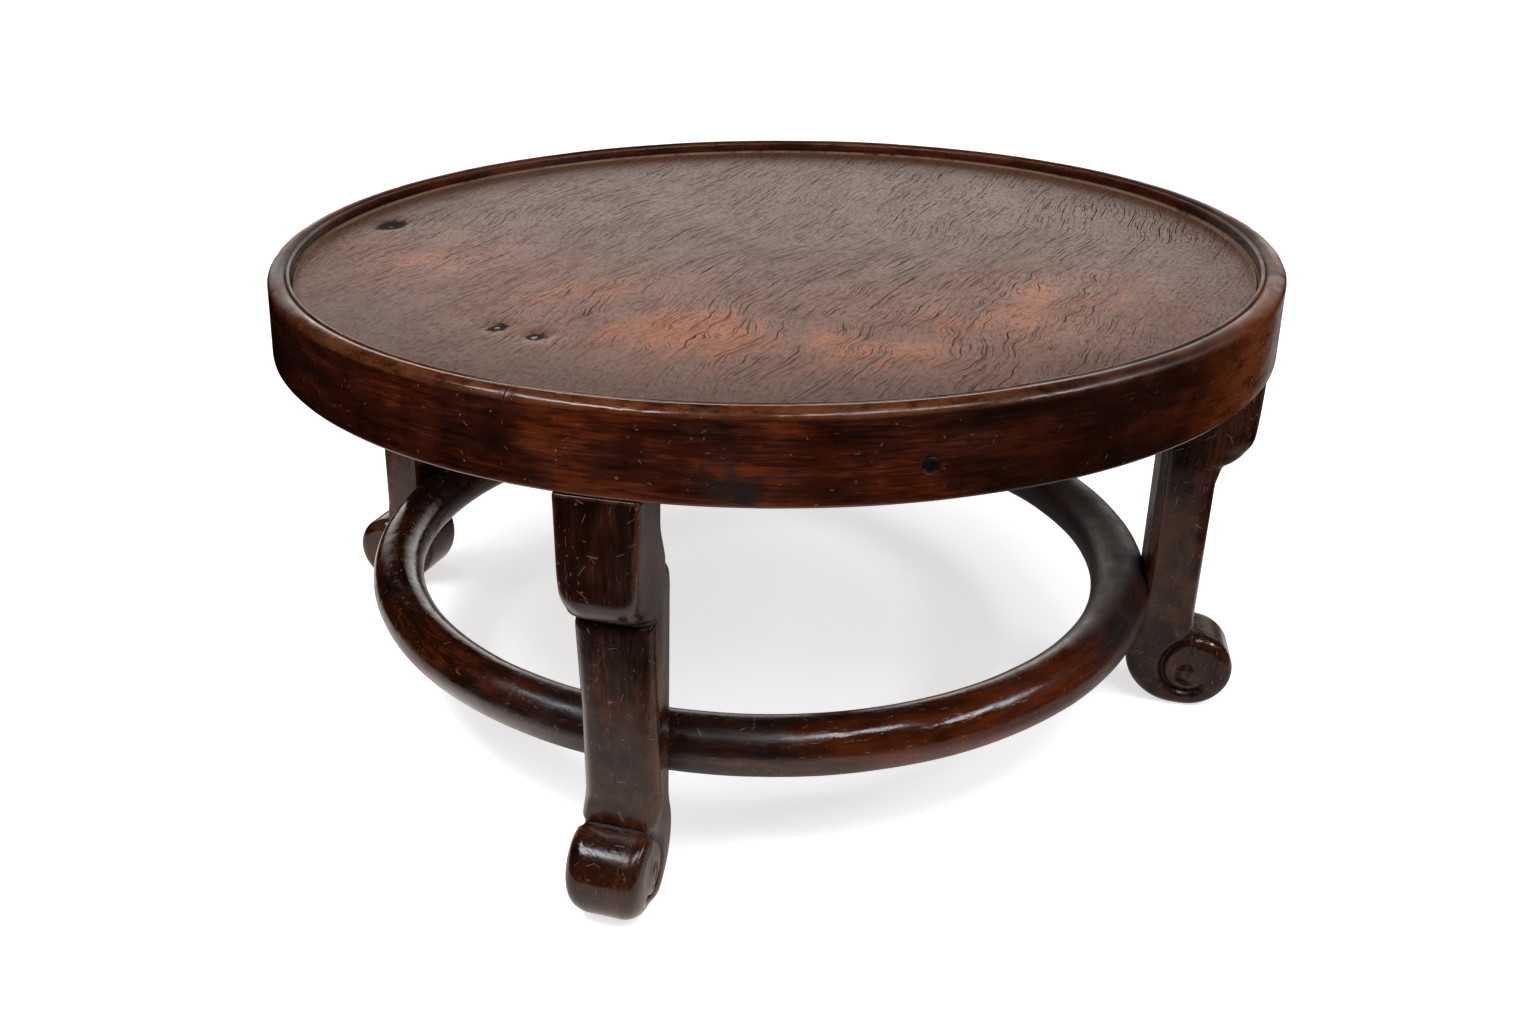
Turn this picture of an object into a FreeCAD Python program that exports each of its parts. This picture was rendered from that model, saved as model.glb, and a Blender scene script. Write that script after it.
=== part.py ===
import FreeCAD, Part
import math
import os

Vector = FreeCAD.Vector

# Overall sizes, in millimetres
TOP_DIAMETER = 400.0
HEIGHT = 195.0

# Round frame: band, rim lip, groove for the panel
BAND_HEIGHT = 30.5
BAND_TAPER = 1.6
FRAME_WIDTH = 42.0
LIP_WIDTH = 8.8
LIP_FALL = 0.8
BEAD_WIDTH = 1.6
BEAD_QUIRK = 0.5
RIM_ROUND = 2.5
BAND_ROUND = 1.5
FRAME_JOINT_ANGLE = 9.0
FRAME_TONGUE_LENGTH = 46.0
FRAME_TONGUE_WIDTH = 26.0
FRAME_TONGUE_THICKNESS = 6.0
FRAME_CHEEK = 6.0

# Panel
PANEL_RECESS = 5.0
PANEL_THICKNESS = 8.0
PANEL_EDGE_ROUND = 0.8
PANEL_TONGUE_HEIGHT = 4.0
PANEL_TONGUE_LENGTH = 3.0

# Batten under the panel, and the pegs that pin its ends
BATTEN_ANGLE = -61.5
BATTEN_WIDTH = 22.0
BATTEN_DEPTH = 13.0
DOVETAIL_DEPTH = 4.0
DOVETAIL_FLARE = 1.5
BATTEN_TENON_LENGTH = 16.0
BATTEN_TENON_WIDTH = 14.0
BATTEN_TENON_HEIGHT = 8.0
BATTEN_TENON_ROOF = 2.0
PEG_DIAMETER = 5.6
PEG_GRIP = 12.0

# Legs
LEG_NAMES = ("right", "back", "left", "front")
LEG_ANGLES = (4.4, 90.0, 173.6, 270.0)
LEG_LEAN = 2.0
LEG_WIDTH = 27.6
BLOCK_SETBACK = 0.3
BLOCK_THICKNESS = 23.0
BLOCK_HEIGHT = 34.5
BLOCK_ROUND = 13.0
BLOCK_OVERHANG = 11.7
BLOCK_CREASE = 5.0
BLOCK_TRIM = 3.0
SHAFT_THICKNESS = 22.0
BACK_STEP_DROP = 23.0
BACK_STEP_HEIGHT = 18.0
LEG_EDGE_ROUND = 3.8
CROTCH_ROUND = 0.8
TENON_THICKNESS = 11.0
TENON_WIDTH = 16.0
TENON_SETBACK = 2.0
TENON_ROOF = 4.5

# Scroll foot
SCROLL_DIAMETER = 34.4
SCROLL_REACH = 18.8
FOOT_FLAT = 0.4
SOLE_LENGTH = 1.8
HEEL_BULGE = 3.5
HEEL_RISE = 18.0
VOLUTE_DEPTH = 2.0
VOLUTE_WIDTH = 1.8
VOLUTE_START_RADIUS = 15.6
VOLUTE_END_RADIUS = 9.8
VOLUTE_START_ANGLE = 94.0
VOLUTE_END_ANGLE = 330.0
VOLUTE_TIGHTNESS = 4.0
EYE_SETBACK = 1.1
EYE_RISE = 0.2

# Ring stretcher
RING_THICKNESS = 22.6
RING_HEIGHT = 52.6
RING_SEAT = 2.0
SCARF_ANGLE = 17.6
SCARF_TIP_LENGTH = 4.0
SCARF_TIP_WIDTH = 8.0
SCARF_TIP_HEIGHT = 3.6
KEY_SIZE = 7.0
KEY_COVER = 4.5
KEY_GRIP = 11.0

# Clearances
PANEL_GAP = 0.5
JOINT_CLEARANCE = 0.15
PEG_CLEARANCE = 0.05

# Closest that two places can be and still be told apart
TOUCH = 0.01

# Values that follow from the sizes above
LEG_COUNT = len(LEG_NAMES)
LEG_ARCS = [(LEG_ANGLES[(index + 1) % LEG_COUNT] - LEG_ANGLES[index]) % 360 for index in range(LEG_COUNT)]
TOP_RADIUS = TOP_DIAMETER / 2
FRAME_INNER = TOP_RADIUS - FRAME_WIDTH
RIM_RADIUS = TOP_RADIUS - BAND_TAPER
LIP_INNER = RIM_RADIUS - LIP_WIDTH
UNDERSIDE = HEIGHT - BAND_HEIGHT
PANEL_TOP = HEIGHT - PANEL_RECESS
PANEL_SEAT = PANEL_TOP - PANEL_THICKNESS
PANEL_GROOVE_TOP = PANEL_SEAT + PANEL_TONGUE_HEIGHT + JOINT_CLEARANCE
PANEL_GROOVE_RADIUS = LIP_INNER + PANEL_TONGUE_LENGTH + PANEL_GAP
TONGUE_MIDDLE = (UNDERSIDE + PANEL_SEAT) / 2
TONGUE_OUTER = TOP_RADIUS - FRAME_CHEEK
TONGUE_INNER = TONGUE_OUTER - FRAME_TONGUE_WIDTH
TONGUE_ANGLE = math.degrees(FRAME_TONGUE_LENGTH / ((TONGUE_INNER + TONGUE_OUTER) / 2))
BLOCK_OUTER = TOP_RADIUS - BLOCK_SETBACK
BLOCK_INNER = BLOCK_OUTER - BLOCK_THICKNESS
SHAFT_OUTER = BLOCK_OUTER - BLOCK_OVERHANG
SHAFT_INNER = SHAFT_OUTER - SHAFT_THICKNESS
BLOCK_FOOT = UNDERSIDE - BLOCK_HEIGHT
BACK_STEP_TOP = UNDERSIDE - BACK_STEP_DROP
BACK_STEP_FOOT = BACK_STEP_TOP - BACK_STEP_HEIGHT
TENON_MIDDLE = BLOCK_INNER + TENON_SETBACK + TENON_THICKNESS / 2
TENON_TOP = PANEL_SEAT - TENON_ROOF
SCROLL_RADIUS = SCROLL_DIAMETER / 2
LEG_PIVOT = Vector(BLOCK_OUTER, 0, UNDERSIDE)
LEAN_SLOPE = math.tan(math.radians(LEG_LEAN))
LEAN_COSINE = math.cos(math.radians(LEG_LEAN))
CROTCH_RADIUS = BLOCK_OUTER - BLOCK_OVERHANG / LEAN_COSINE + (UNDERSIDE - SCROLL_DIAMETER) * LEAN_SLOPE
SCROLL_CENTRE = Vector(CROTCH_RADIUS + SCROLL_REACH - SCROLL_RADIUS, 0, SCROLL_RADIUS - FOOT_FLAT)
RING_RADIUS = RING_THICKNESS / 2
LEG_BACK = BLOCK_OUTER - (BLOCK_OUTER - SHAFT_INNER) / LEAN_COSINE + (UNDERSIDE - RING_HEIGHT) * LEAN_SLOPE
RING_CENTRE_RADIUS = LEG_BACK + RING_SEAT - RING_RADIUS
KEY_INNER = RING_CENTRE_RADIUS - RING_RADIUS + KEY_COVER
KEY_OUTER = LEG_BACK + KEY_GRIP
BATTEN_TENON_TOP = PANEL_SEAT - BATTEN_TENON_ROOF
PEG_LEVEL = BATTEN_TENON_TOP - BATTEN_TENON_HEIGHT / 2


def point(radius, height):
    return Vector(radius, 0, height)


def outline(start, *steps):
    """Closed face in the plane of one leg. A step is a point for a line, or (via, point) for an arc."""
    edges = []
    here = start
    for step in steps + (start,):
        if isinstance(step, tuple):
            via, there = step
            edges.append(Part.Arc(here, via, there).toShape())
        else:
            there = step
            edges.append(Part.LineSegment(here, there).toShape())
        here = there
    return Part.Face(Part.Wire(edges))


def quarter(centre, radius, angle):
    """Point on a circle in the plane of one leg, at an angle from outwards towards up."""
    turn = math.radians(angle)
    return centre + Vector(radius * math.cos(turn), 0, radius * math.sin(turn))


def turned(shape, angle):
    copy = shape.copy()
    copy.rotate(Vector(0, 0, 0), Vector(0, 0, 1), angle)
    return copy


def swept(face, start, sweep):
    """Face swept round the stand's axis, from one azimuth over an angle."""
    return turned(face.revolve(Vector(0, 0, 0), Vector(0, 0, 1), sweep), start)


def block(inner, outer, width, low, high):
    """Straight block across one leg's plane, from one radius to another."""
    return Part.makeBox(outer - inner, width, high - low, Vector(inner, -width / 2, low))


def rectangle(inner, outer, low, high):
    return outline(point(inner, low), point(outer, low), point(outer, high), point(inner, high))


def frame_section():
    """Section of the round frame: band, rounded rim, bead at the lip, groove and seat for the panel."""
    bead_outer = LIP_INNER + BEAD_WIDTH
    bead_foot = HEIGHT - LIP_FALL - BEAD_QUIRK
    bead_middle = point(LIP_INNER + BEAD_WIDTH / 2, bead_foot)
    band_corner = point(TOP_RADIUS - BAND_ROUND, UNDERSIDE + BAND_ROUND)
    rim_corner = point(RIM_RADIUS - RIM_ROUND, HEIGHT - RIM_ROUND)
    return outline(
        point(FRAME_INNER, UNDERSIDE),
        quarter(band_corner, BAND_ROUND, -90),
        (quarter(band_corner, BAND_ROUND, -45), quarter(band_corner, BAND_ROUND, 0)),
        quarter(rim_corner, RIM_ROUND, 0),
        (quarter(rim_corner, RIM_ROUND, 45), quarter(rim_corner, RIM_ROUND, 90)),
        point(bead_outer, HEIGHT - LIP_FALL),
        point(bead_outer, bead_foot),
        (quarter(bead_middle, BEAD_WIDTH / 2, 90), point(LIP_INNER, bead_foot)),
        point(LIP_INNER, PANEL_GROOVE_TOP),
        point(PANEL_GROOVE_RADIUS, PANEL_GROOVE_TOP),
        point(PANEL_GROOVE_RADIUS, PANEL_SEAT),
        point(FRAME_INNER, PANEL_SEAT),
    )


def frame_tongue(clearance, sweep):
    """Curved tongue that joins two frame segments, or its slot when given a clearance."""
    half = FRAME_TONGUE_THICKNESS / 2 + clearance
    section = rectangle(
        TONGUE_INNER - clearance, TONGUE_OUTER + clearance, TONGUE_MIDDLE - half, TONGUE_MIDDLE + half
    )
    return swept(section, 0, sweep)


def leg_tenon(clearance):
    """Tenon on top of a leg, or its mortise when given a clearance."""
    half = TENON_THICKNESS / 2 + clearance
    width = TENON_WIDTH + 2 * clearance
    return block(TENON_MIDDLE - half, TENON_MIDDLE + half, width, UNDERSIDE, TENON_TOP + clearance)


def batten_tenons(clearance):
    """Both end tenons of the batten as one bar, or their mortises when given a clearance."""
    reach = FRAME_INNER + BATTEN_TENON_LENGTH + clearance
    bar = block(
        -reach,
        reach,
        BATTEN_TENON_WIDTH + 2 * clearance,
        BATTEN_TENON_TOP - BATTEN_TENON_HEIGHT - clearance,
        BATTEN_TENON_TOP + clearance,
    )
    return turned(bar, BATTEN_ANGLE)


def batten_peg(clearance):
    """Peg from the face of the band into the end of the batten, or its hole when given a clearance."""
    inner = FRAME_INNER + BATTEN_TENON_LENGTH - PEG_GRIP
    rod = Part.makeCylinder(
        PEG_DIAMETER / 2 + clearance, TOP_RADIUS - inner, Vector(inner, 0, PEG_LEVEL), Vector(1, 0, 0)
    )
    foot = UNDERSIDE + BAND_ROUND
    face = Part.makeCone(TOP_RADIUS, RIM_RADIUS, HEIGHT - RIM_ROUND - foot, Vector(0, 0, foot))
    return turned(rod.common(face), BATTEN_ANGLE)


def opposite_pair(shape):
    return [shape, turned(shape, 180)]


def frame_segment(index):
    """One felloe of the frame: slot and mortise over its own leg, tongue into the next felloe."""
    leg_angle = LEG_ANGLES[index]
    arc = LEG_ARCS[index]
    start = leg_angle - FRAME_JOINT_ANGLE
    slot_sweep = TONGUE_ANGLE + math.degrees(JOINT_CLEARANCE / TONGUE_INNER)
    felloe = swept(frame_section(), start, arc)
    felloe = felloe.cut(turned(frame_tongue(JOINT_CLEARANCE, slot_sweep), start))
    felloe = felloe.fuse(turned(frame_tongue(0, TONGUE_ANGLE), start + arc)).removeSplitter()
    mortise = leg_tenon(JOINT_CLEARANCE)
    cutters = [turned(mortise, leg_angle), turned(mortise, leg_angle + arc), batten_tenons(JOINT_CLEARANCE)]
    return felloe.cut(cutters + opposite_pair(batten_peg(PEG_CLEARANCE)))


def dovetail_bar(length, clearance):
    """Dovetail along the batten's line, as the key on the batten or the groove in the panel."""
    foot = BATTEN_WIDTH / 2 - DOVETAIL_FLARE + clearance
    head = BATTEN_WIDTH / 2 + clearance
    top = PANEL_SEAT + DOVETAIL_DEPTH + clearance
    corners = [
        Vector(-length / 2, -foot, PANEL_SEAT),
        Vector(-length / 2, foot, PANEL_SEAT),
        Vector(-length / 2, head, top),
        Vector(-length / 2, -head, top),
    ]
    section = Part.Face(Part.makePolygon(corners + corners[:1]))
    return turned(section.extrude(Vector(length, 0, 0)), BATTEN_ANGLE)


def top_panel():
    """Round board with a tongue all round its edge and a dovetail groove across its underside."""
    edge = LIP_INNER - PANEL_GAP
    tongue = LIP_INNER + PANEL_TONGUE_LENGTH
    tongue_top = PANEL_SEAT + PANEL_TONGUE_HEIGHT
    corner = point(edge - PANEL_EDGE_ROUND, PANEL_TOP - PANEL_EDGE_ROUND)
    section = outline(
        point(0, PANEL_SEAT),
        point(tongue, PANEL_SEAT),
        point(tongue, tongue_top),
        point(edge, tongue_top),
        quarter(corner, PANEL_EDGE_ROUND, 0),
        (quarter(corner, PANEL_EDGE_ROUND, 45), quarter(corner, PANEL_EDGE_ROUND, 90)),
        point(0, PANEL_TOP),
    )
    return swept(section, 0, 360).cut(dovetail_bar(2 * TOP_RADIUS, JOINT_CLEARANCE))


def panel_batten():
    """Batten with a dovetail key along its top and a tenon at each end, drilled for its pegs."""
    shoulder = FRAME_INNER - JOINT_CLEARANCE
    width = BATTEN_WIDTH - 2 * DOVETAIL_FLARE
    body = turned(block(-TOP_RADIUS, TOP_RADIUS, width, PANEL_SEAT - BATTEN_DEPTH, PANEL_SEAT), BATTEN_ANGLE)
    bar = body.fuse(dovetail_bar(2 * TOP_RADIUS, 0)).common(Part.makeCylinder(shoulder, HEIGHT))
    return bar.fuse(batten_tenons(0)).removeSplitter().cut(opposite_pair(batten_peg(PEG_CLEARANCE)))


def bend(centre, radius, start, end):
    """Arc step of an outline, round a centre from one angle to another."""
    return quarter(centre, radius, (start + end) / 2), quarter(centre, radius, end)


def tangent_arc(across, along):
    """Radius and turn of an arc that leaves a straight run and ends so far across and along it."""
    radius = (across**2 + along**2) / (2 * across)
    return radius, math.degrees(math.asin(along / radius))


def lean(angle):
    """Turn in the plane of one leg that leans its foot outwards by an angle."""
    return FreeCAD.Placement(Vector(0, 0, 0), FreeCAD.Rotation(Vector(0, 1, 0), -angle), LEG_PIVOT)


def leg_outline():
    """Side outline of an upright leg: shoulder block, crease, shaft, scroll foot, heel and stepped back."""
    scroll = lean(-LEG_LEAN).multVec(SCROLL_CENTRE)
    heel_centre = scroll.x - SOLE_LENGTH
    heel_radius = heel_centre - SHAFT_INNER + HEEL_BULGE
    heel_drop = (UNDERSIDE - heel_radius + FOOT_FLAT) / LEAN_COSINE
    heel_drop += (heel_centre - BLOCK_OUTER) * LEAN_SLOPE
    heel = point(heel_centre, UNDERSIDE - heel_drop)
    sole = -90 - LEG_LEAN
    under_block = point(BLOCK_OUTER - BLOCK_ROUND, BLOCK_FOOT)
    crease_turn = math.degrees(math.acos(1 - BLOCK_OVERHANG / (BLOCK_ROUND + BLOCK_CREASE)))
    crease = quarter(under_block, BLOCK_ROUND + BLOCK_CREASE, -crease_turn)
    crotch_angle = 180 - math.degrees(math.acos((scroll.x - SHAFT_OUTER) / SCROLL_RADIUS))
    bulge_radius, bulge_turn = tangent_arc(HEEL_BULGE / 2, HEEL_RISE / 2)
    bulge = point(SHAFT_INNER - HEEL_BULGE + bulge_radius, heel.z)
    ankle = point(SHAFT_INNER - bulge_radius, heel.z + HEEL_RISE)
    step_radius, step_turn = tangent_arc((BLOCK_INNER - SHAFT_INNER) / 2, BACK_STEP_HEIGHT / 2)
    step_foot = point(SHAFT_INNER + step_radius, BACK_STEP_FOOT)
    step_top = point(BLOCK_INNER - step_radius, BACK_STEP_TOP)
    return outline(
        point(BLOCK_INNER, UNDERSIDE + BLOCK_TRIM),
        point(BLOCK_OUTER, UNDERSIDE + BLOCK_TRIM),
        quarter(under_block, BLOCK_ROUND, 0),
        bend(under_block, BLOCK_ROUND, 0, -crease_turn),
        bend(crease, BLOCK_CREASE, 180 - crease_turn, 180),
        quarter(scroll, SCROLL_RADIUS, crotch_angle),
        bend(scroll, SCROLL_RADIUS, crotch_angle, sole),
        quarter(heel, heel_radius, sole),
        bend(heel, heel_radius, sole, -180),
        bend(bulge, bulge_radius, 180, 180 - bulge_turn),
        bend(ankle, bulge_radius, -bulge_turn, 0),
        quarter(step_foot, step_radius, 180),
        bend(step_foot, step_radius, 180, 180 - step_turn),
        bend(step_top, step_radius, -step_turn, 0),
    )


def volute_groove():
    """Spiral groove of the scroll, cut into both sides of the foot round its eye."""
    steps = 16
    eye = SCROLL_CENTRE + Vector(-EYE_SETBACK, 0, EYE_RISE)
    outer = []
    inner = []
    for step in range(steps + 1):
        share = step / steps
        angle = VOLUTE_START_ANGLE + share * (VOLUTE_END_ANGLE - VOLUTE_START_ANGLE)
        opening = (VOLUTE_START_RADIUS - VOLUTE_END_RADIUS) * (1 - share) ** VOLUTE_TIGHTNESS
        radius = VOLUTE_END_RADIUS + opening
        outer.append(quarter(eye, radius, angle))
        inner.append(quarter(eye, radius - VOLUTE_WIDTH, angle))
    edges = []
    for points in (outer, inner[::-1]):
        curve = Part.BSplineCurve()
        curve.interpolate(points)
        edges.append(curve.toShape())
    edges.append(Part.LineSegment(outer[-1], inner[-1]).toShape())
    edges.append(Part.LineSegment(inner[0], outer[0]).toShape())
    face = Part.Face(Part.Wire(Part.__sortEdges__(edges)))
    near = face.extrude(Vector(0, -VOLUTE_DEPTH, 0)).translate(Vector(0, LEG_WIDTH / 2, 0))
    far = face.extrude(Vector(0, VOLUTE_DEPTH, 0)).translate(Vector(0, -LEG_WIDTH / 2, 0))
    return [near, far]


def ring_body(thickness):
    return Part.makeTorus(RING_CENTRE_RADIUS, thickness / 2, Vector(0, 0, RING_HEIGHT))


def ring_key(clearance):
    """Square key inside a ring scarf and the leg behind it, or its mortise when given a clearance."""
    half = KEY_SIZE / 2 + clearance
    low = RING_HEIGHT - half
    high = RING_HEIGHT + half
    return block(KEY_INNER - clearance, KEY_OUTER + clearance, 2 * half, low, high)


def lies_in_crotch(edge):
    """True for the edge in the crotch of the scroll, which runs across a leg."""
    middle = edge.CenterOfMass
    in_crotch = abs(middle.x - SHAFT_OUTER) < TOUCH and middle.z < 2 * SCROLL_DIAMETER
    return in_crotch and abs(middle.y) < TOUCH and edge.BoundBox.YLength > LEG_WIDTH / 2


def lies_on_side(edge):
    """True for an edge of either side face of a leg, apart from its flat top."""
    box = edge.BoundBox
    on_side = box.YLength < TOUCH and abs(abs(box.YMin) - LEG_WIDTH / 2) < TOUCH
    return on_side and box.ZMin < UNDERSIDE - TOUCH


def leg():
    """One leg, with its tenon on top and the seat and mortise for the ring in its back."""
    body = leg_outline().extrude(Vector(0, LEG_WIDTH, 0)).translate(Vector(0, -LEG_WIDTH / 2, 0))
    body = body.makeFillet(CROTCH_ROUND, [edge for edge in body.Edges if lies_in_crotch(edge)])
    body = body.makeFillet(LEG_EDGE_ROUND, [edge for edge in body.Edges if lies_on_side(edge)])
    body.Placement = lean(LEG_LEAN).multiply(body.Placement)
    body = body.common(Part.makeBox(TOP_DIAMETER, LEG_WIDTH, UNDERSIDE, Vector(0, -LEG_WIDTH / 2, 0)))
    body = body.fuse(leg_tenon(0)).removeSplitter()
    seat = ring_body(RING_THICKNESS + 2 * JOINT_CLEARANCE)
    return body.cut(volute_groove() + [seat, ring_key(JOINT_CLEARANCE)])


def half_ring(up, start, sweep):
    """An arc of the ring, above or below its middle plane, from one azimuth over an angle."""
    side = 90 if up else -90
    centre = point(RING_CENTRE_RADIUS, RING_HEIGHT)
    section = outline(
        quarter(centre, RING_RADIUS, 180),
        (quarter(centre, RING_RADIUS, side), quarter(centre, RING_RADIUS, 0)),
    )
    return swept(section, start, sweep)


def scarf_tip(up, clearance):
    """Small tongue at the tip of a ring scarf, pointing back along the ring, or its slot."""
    height = SCARF_TIP_HEIGHT + 2 * clearance
    width = SCARF_TIP_WIDTH + 2 * clearance
    level = RING_HEIGHT + (RING_RADIUS / 2 if up else -RING_RADIUS / 2)
    corner = Vector(RING_CENTRE_RADIUS - width / 2, -SCARF_TIP_LENGTH - clearance, level - height / 2)
    return Part.makeBox(width, SCARF_TIP_LENGTH + clearance, height, corner)


def mirrored(shape):
    return shape.mirror(Vector(0, 0, 0), Vector(0, 1, 0))


def ring_segment(index):
    """One arc of the ring: its upper half starts before a leg, its lower half ends after the next."""
    leg_angle = LEG_ANGLES[index]
    sweep = LEG_ARCS[index]
    upper = leg_angle - SCARF_ANGLE
    lower = leg_angle + SCARF_ANGLE
    arc = half_ring(True, upper, sweep).fuse(half_ring(False, lower, sweep)).removeSplitter()
    arc = arc.fuse(turned(scarf_tip(True, 0), upper))
    arc = arc.fuse(turned(mirrored(scarf_tip(False, 0)), lower + sweep))
    cutters = [
        turned(scarf_tip(True, JOINT_CLEARANCE), upper + sweep),
        turned(mirrored(scarf_tip(False, JOINT_CLEARANCE)), lower),
        turned(ring_key(JOINT_CLEARANCE), leg_angle),
        turned(ring_key(JOINT_CLEARANCE), leg_angle + sweep),
    ]
    return arc.cut(cutters)


def export(name, shape):
    shape.exportStep(os.path.join("parts", name + ".step"))


os.makedirs("parts", exist_ok=True)
export("top_panel", top_panel())
export("panel_batten", panel_batten())
export("batten_pegs", Part.makeCompound(opposite_pair(batten_peg(0))))
whole_leg = leg()
whole_key = ring_key(0)
for index, name in enumerate(LEG_NAMES):
    azimuth = LEG_ANGLES[index]
    export("frame_segment_%d" % (index + 1), frame_segment(index))
    export("leg_" + name, turned(whole_leg, azimuth))
    export("ring_segment_%d" % (index + 1), ring_segment(index))
    export("ring_key_" + name, turned(whole_key, azimuth))
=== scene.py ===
import math
import random

import bmesh
import bpy
import numpy as np
from mathutils import Matrix, Vector


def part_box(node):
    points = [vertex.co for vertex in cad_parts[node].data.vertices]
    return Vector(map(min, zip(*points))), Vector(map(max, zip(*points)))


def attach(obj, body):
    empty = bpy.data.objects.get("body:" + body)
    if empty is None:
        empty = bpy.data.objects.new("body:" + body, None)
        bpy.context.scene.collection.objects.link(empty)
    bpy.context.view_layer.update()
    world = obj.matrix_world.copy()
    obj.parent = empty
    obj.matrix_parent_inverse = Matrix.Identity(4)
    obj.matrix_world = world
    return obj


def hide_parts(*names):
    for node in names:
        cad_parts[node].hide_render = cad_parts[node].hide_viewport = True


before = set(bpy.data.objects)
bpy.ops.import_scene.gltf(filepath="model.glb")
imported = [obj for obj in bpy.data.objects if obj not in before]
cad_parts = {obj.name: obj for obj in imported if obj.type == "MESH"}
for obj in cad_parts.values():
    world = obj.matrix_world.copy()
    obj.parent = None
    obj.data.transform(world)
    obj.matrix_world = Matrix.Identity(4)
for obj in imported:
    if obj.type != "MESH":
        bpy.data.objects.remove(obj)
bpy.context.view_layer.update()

X, Z = 0, 2


def span(node, axis):
    """Lowest and highest place of a node along an axis, in metres."""
    low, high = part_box(node)
    return round(low[axis], 5), round(high[axis], 5)


# Top, in metres. The facets of a round node fall a little short of its radius
UNDERSIDE, HEIGHT = span("frame_segment_1", Z)
TOP_RADIUS = round(span("frame_segment_1", X)[1], 4)
RIM_RADIUS = TOP_RADIUS - 0.0016
LIP_INNER = RIM_RADIUS - 0.0088
FRAME_INNER = TOP_RADIUS - 0.042
FRAME_JOINT_ANGLE = 9.0
BAND_ROUND = 0.0015
RIM_ROUND = 0.0032
RIM_SPREAD = 0.0046
RIM_SHOULDER = 0.0012
RIM_SHOULDER_FALL = 0.0003
LIP_FALL = 0.0008
LIP_BEVEL = 0.0006
BEAD_WIDTH = 0.0016
BEAD_FOOT = HEIGHT - 0.0013
FRAME_WAVER = 0.0004
NICKS_PER_SEGMENT = 14
NICK_REACH = (0.0016, 0.003)
NICK_DEPTH = (0.0001, 0.0003)
JOINT_DENT = (0.003, 0.0006)

# Panel
PANEL_SEAT, PANEL_TOP = span("top_panel", Z)
PANEL_GAP = 0.0005
PANEL_EDGE = LIP_INNER - PANEL_GAP
PANEL_EDGE_ROUND = 0.0008
PANEL_TONGUE_RADIUS = span("top_panel", X)[1]
PANEL_TONGUE_TOP = PANEL_SEAT + 0.004
PANEL_GROOVE_RADIUS = PANEL_TONGUE_RADIUS + PANEL_GAP
PANEL_GROOVE_TOP = PANEL_TONGUE_TOP + 0.00015
PANEL_WAVER = 0.0005

# Plugs in the band
PEG_ANGLES = (-61.5, 118.5)
PEG_LOW, PEG_HIGH = span("batten_pegs", Z)
PEG_LEVEL = (PEG_LOW + PEG_HIGH) / 2
PEG_RADIUS = (PEG_HIGH - PEG_LOW) / 2
PEG_DENT = (1.4 * PEG_RADIUS, 0.0004)
PEG_DEPTH = 0.02
PEG_STAND = 0.0004
BAND_AT_PEG = TOP_RADIUS - 0.0006

# Ring
RING_LOW, RING_HIGH = span("ring_segment_1", Z)
RING_LEVEL = (RING_LOW + RING_HIGH) / 2
RING_TUBE = (RING_HIGH - RING_LOW) / 2
RING_RADIUS = 0.1606
RING_WAVER = 0.0007
SCARF_ANGLE = 17.6
SECTION_STEP = 0.0025

# Legs: azimuths in degrees, and the side outline at the height of the underside
LEG_SKIN = 0.0006
LEG_ANGLES = {"right": 4.4, "back": 90.0, "left": 173.6, "front": 270.0}
LEG_WIDTH = 2 * span("leg_back", X)[1]
LEAN_SLOPE = math.tan(math.radians(2.0))
EDGE_ROUND = 0.0038
LEG_MIDDLE = 0.177
BLOCK_FACE = TOP_RADIUS - 0.0003
BLOCK_BACK = BLOCK_FACE - 0.023
BLOCK_FOOT = UNDERSIDE - 0.0345
BLOCK_ROUND = 0.013
BLOCK_COVE = 0.005
SHAFT_FACE = BLOCK_FACE - 0.0117
SHAFT_BACK = SHAFT_FACE - 0.022
COVE_DROP = math.sin(math.acos(1 - (BLOCK_FACE - SHAFT_FACE) / (BLOCK_ROUND + BLOCK_COVE)))
COVE_TOP = round(BLOCK_FOOT - BLOCK_ROUND * COVE_DROP, 5)
COVE_FOOT = round(BLOCK_FOOT - (BLOCK_ROUND + BLOCK_COVE) * COVE_DROP, 5)
CREASE_LEVEL = 0.1148
CREASE_WIDTH = 0.0015
CREASE_DEPTH = 0.0018
STEP_TOP = UNDERSIDE - 0.023
STEP_HEIGHT = 0.018
STEP_DEPTH = BLOCK_BACK - SHAFT_BACK
STEP_ARC = round((STEP_HEIGHT**2 + STEP_DEPTH**2) / (4 * STEP_DEPTH), 5)
EASED_STEP = (0.1257, 0.1497)
LOWERED_FOOT = 0.005
WIDER_COVE = 0.0013
WIDER_COVE_LEVEL = 0.1095
WIDER_COVE_REACH = 0.0045
TWIST_LEVELS = (0.0, 0.03, 0.045, 0.08, 0.11, 0.1155, 0.1185, 0.125, 0.145, 0.1645)
TWIST = (-0.0004, -0.0004, 0.0016, 0.0005, -0.0013, -0.0015, -0.0018, -0.0017, -0.0014, -0.0012)
GRAIN_SHIFT = 0.0037

# Scroll feet
SCROLL = (0.19414, 0.0168)
ROLL_RADIUS = 0.0174
ROLL_HALF_WIDTH = 0.0147
EYE = (0.19304, 0.017)
VOLUTE_FILL = 0.0157
VOLUTE_START = 94.0
VOLUTE_END = 330.0
VOLUTE_INNER = 0.0089
VOLUTE_SPREAD = 0.0062
VOLUTE_DEPTH = 0.0026
EYE_RISE = 0.001
EYE_CUT = 0.0014


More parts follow.
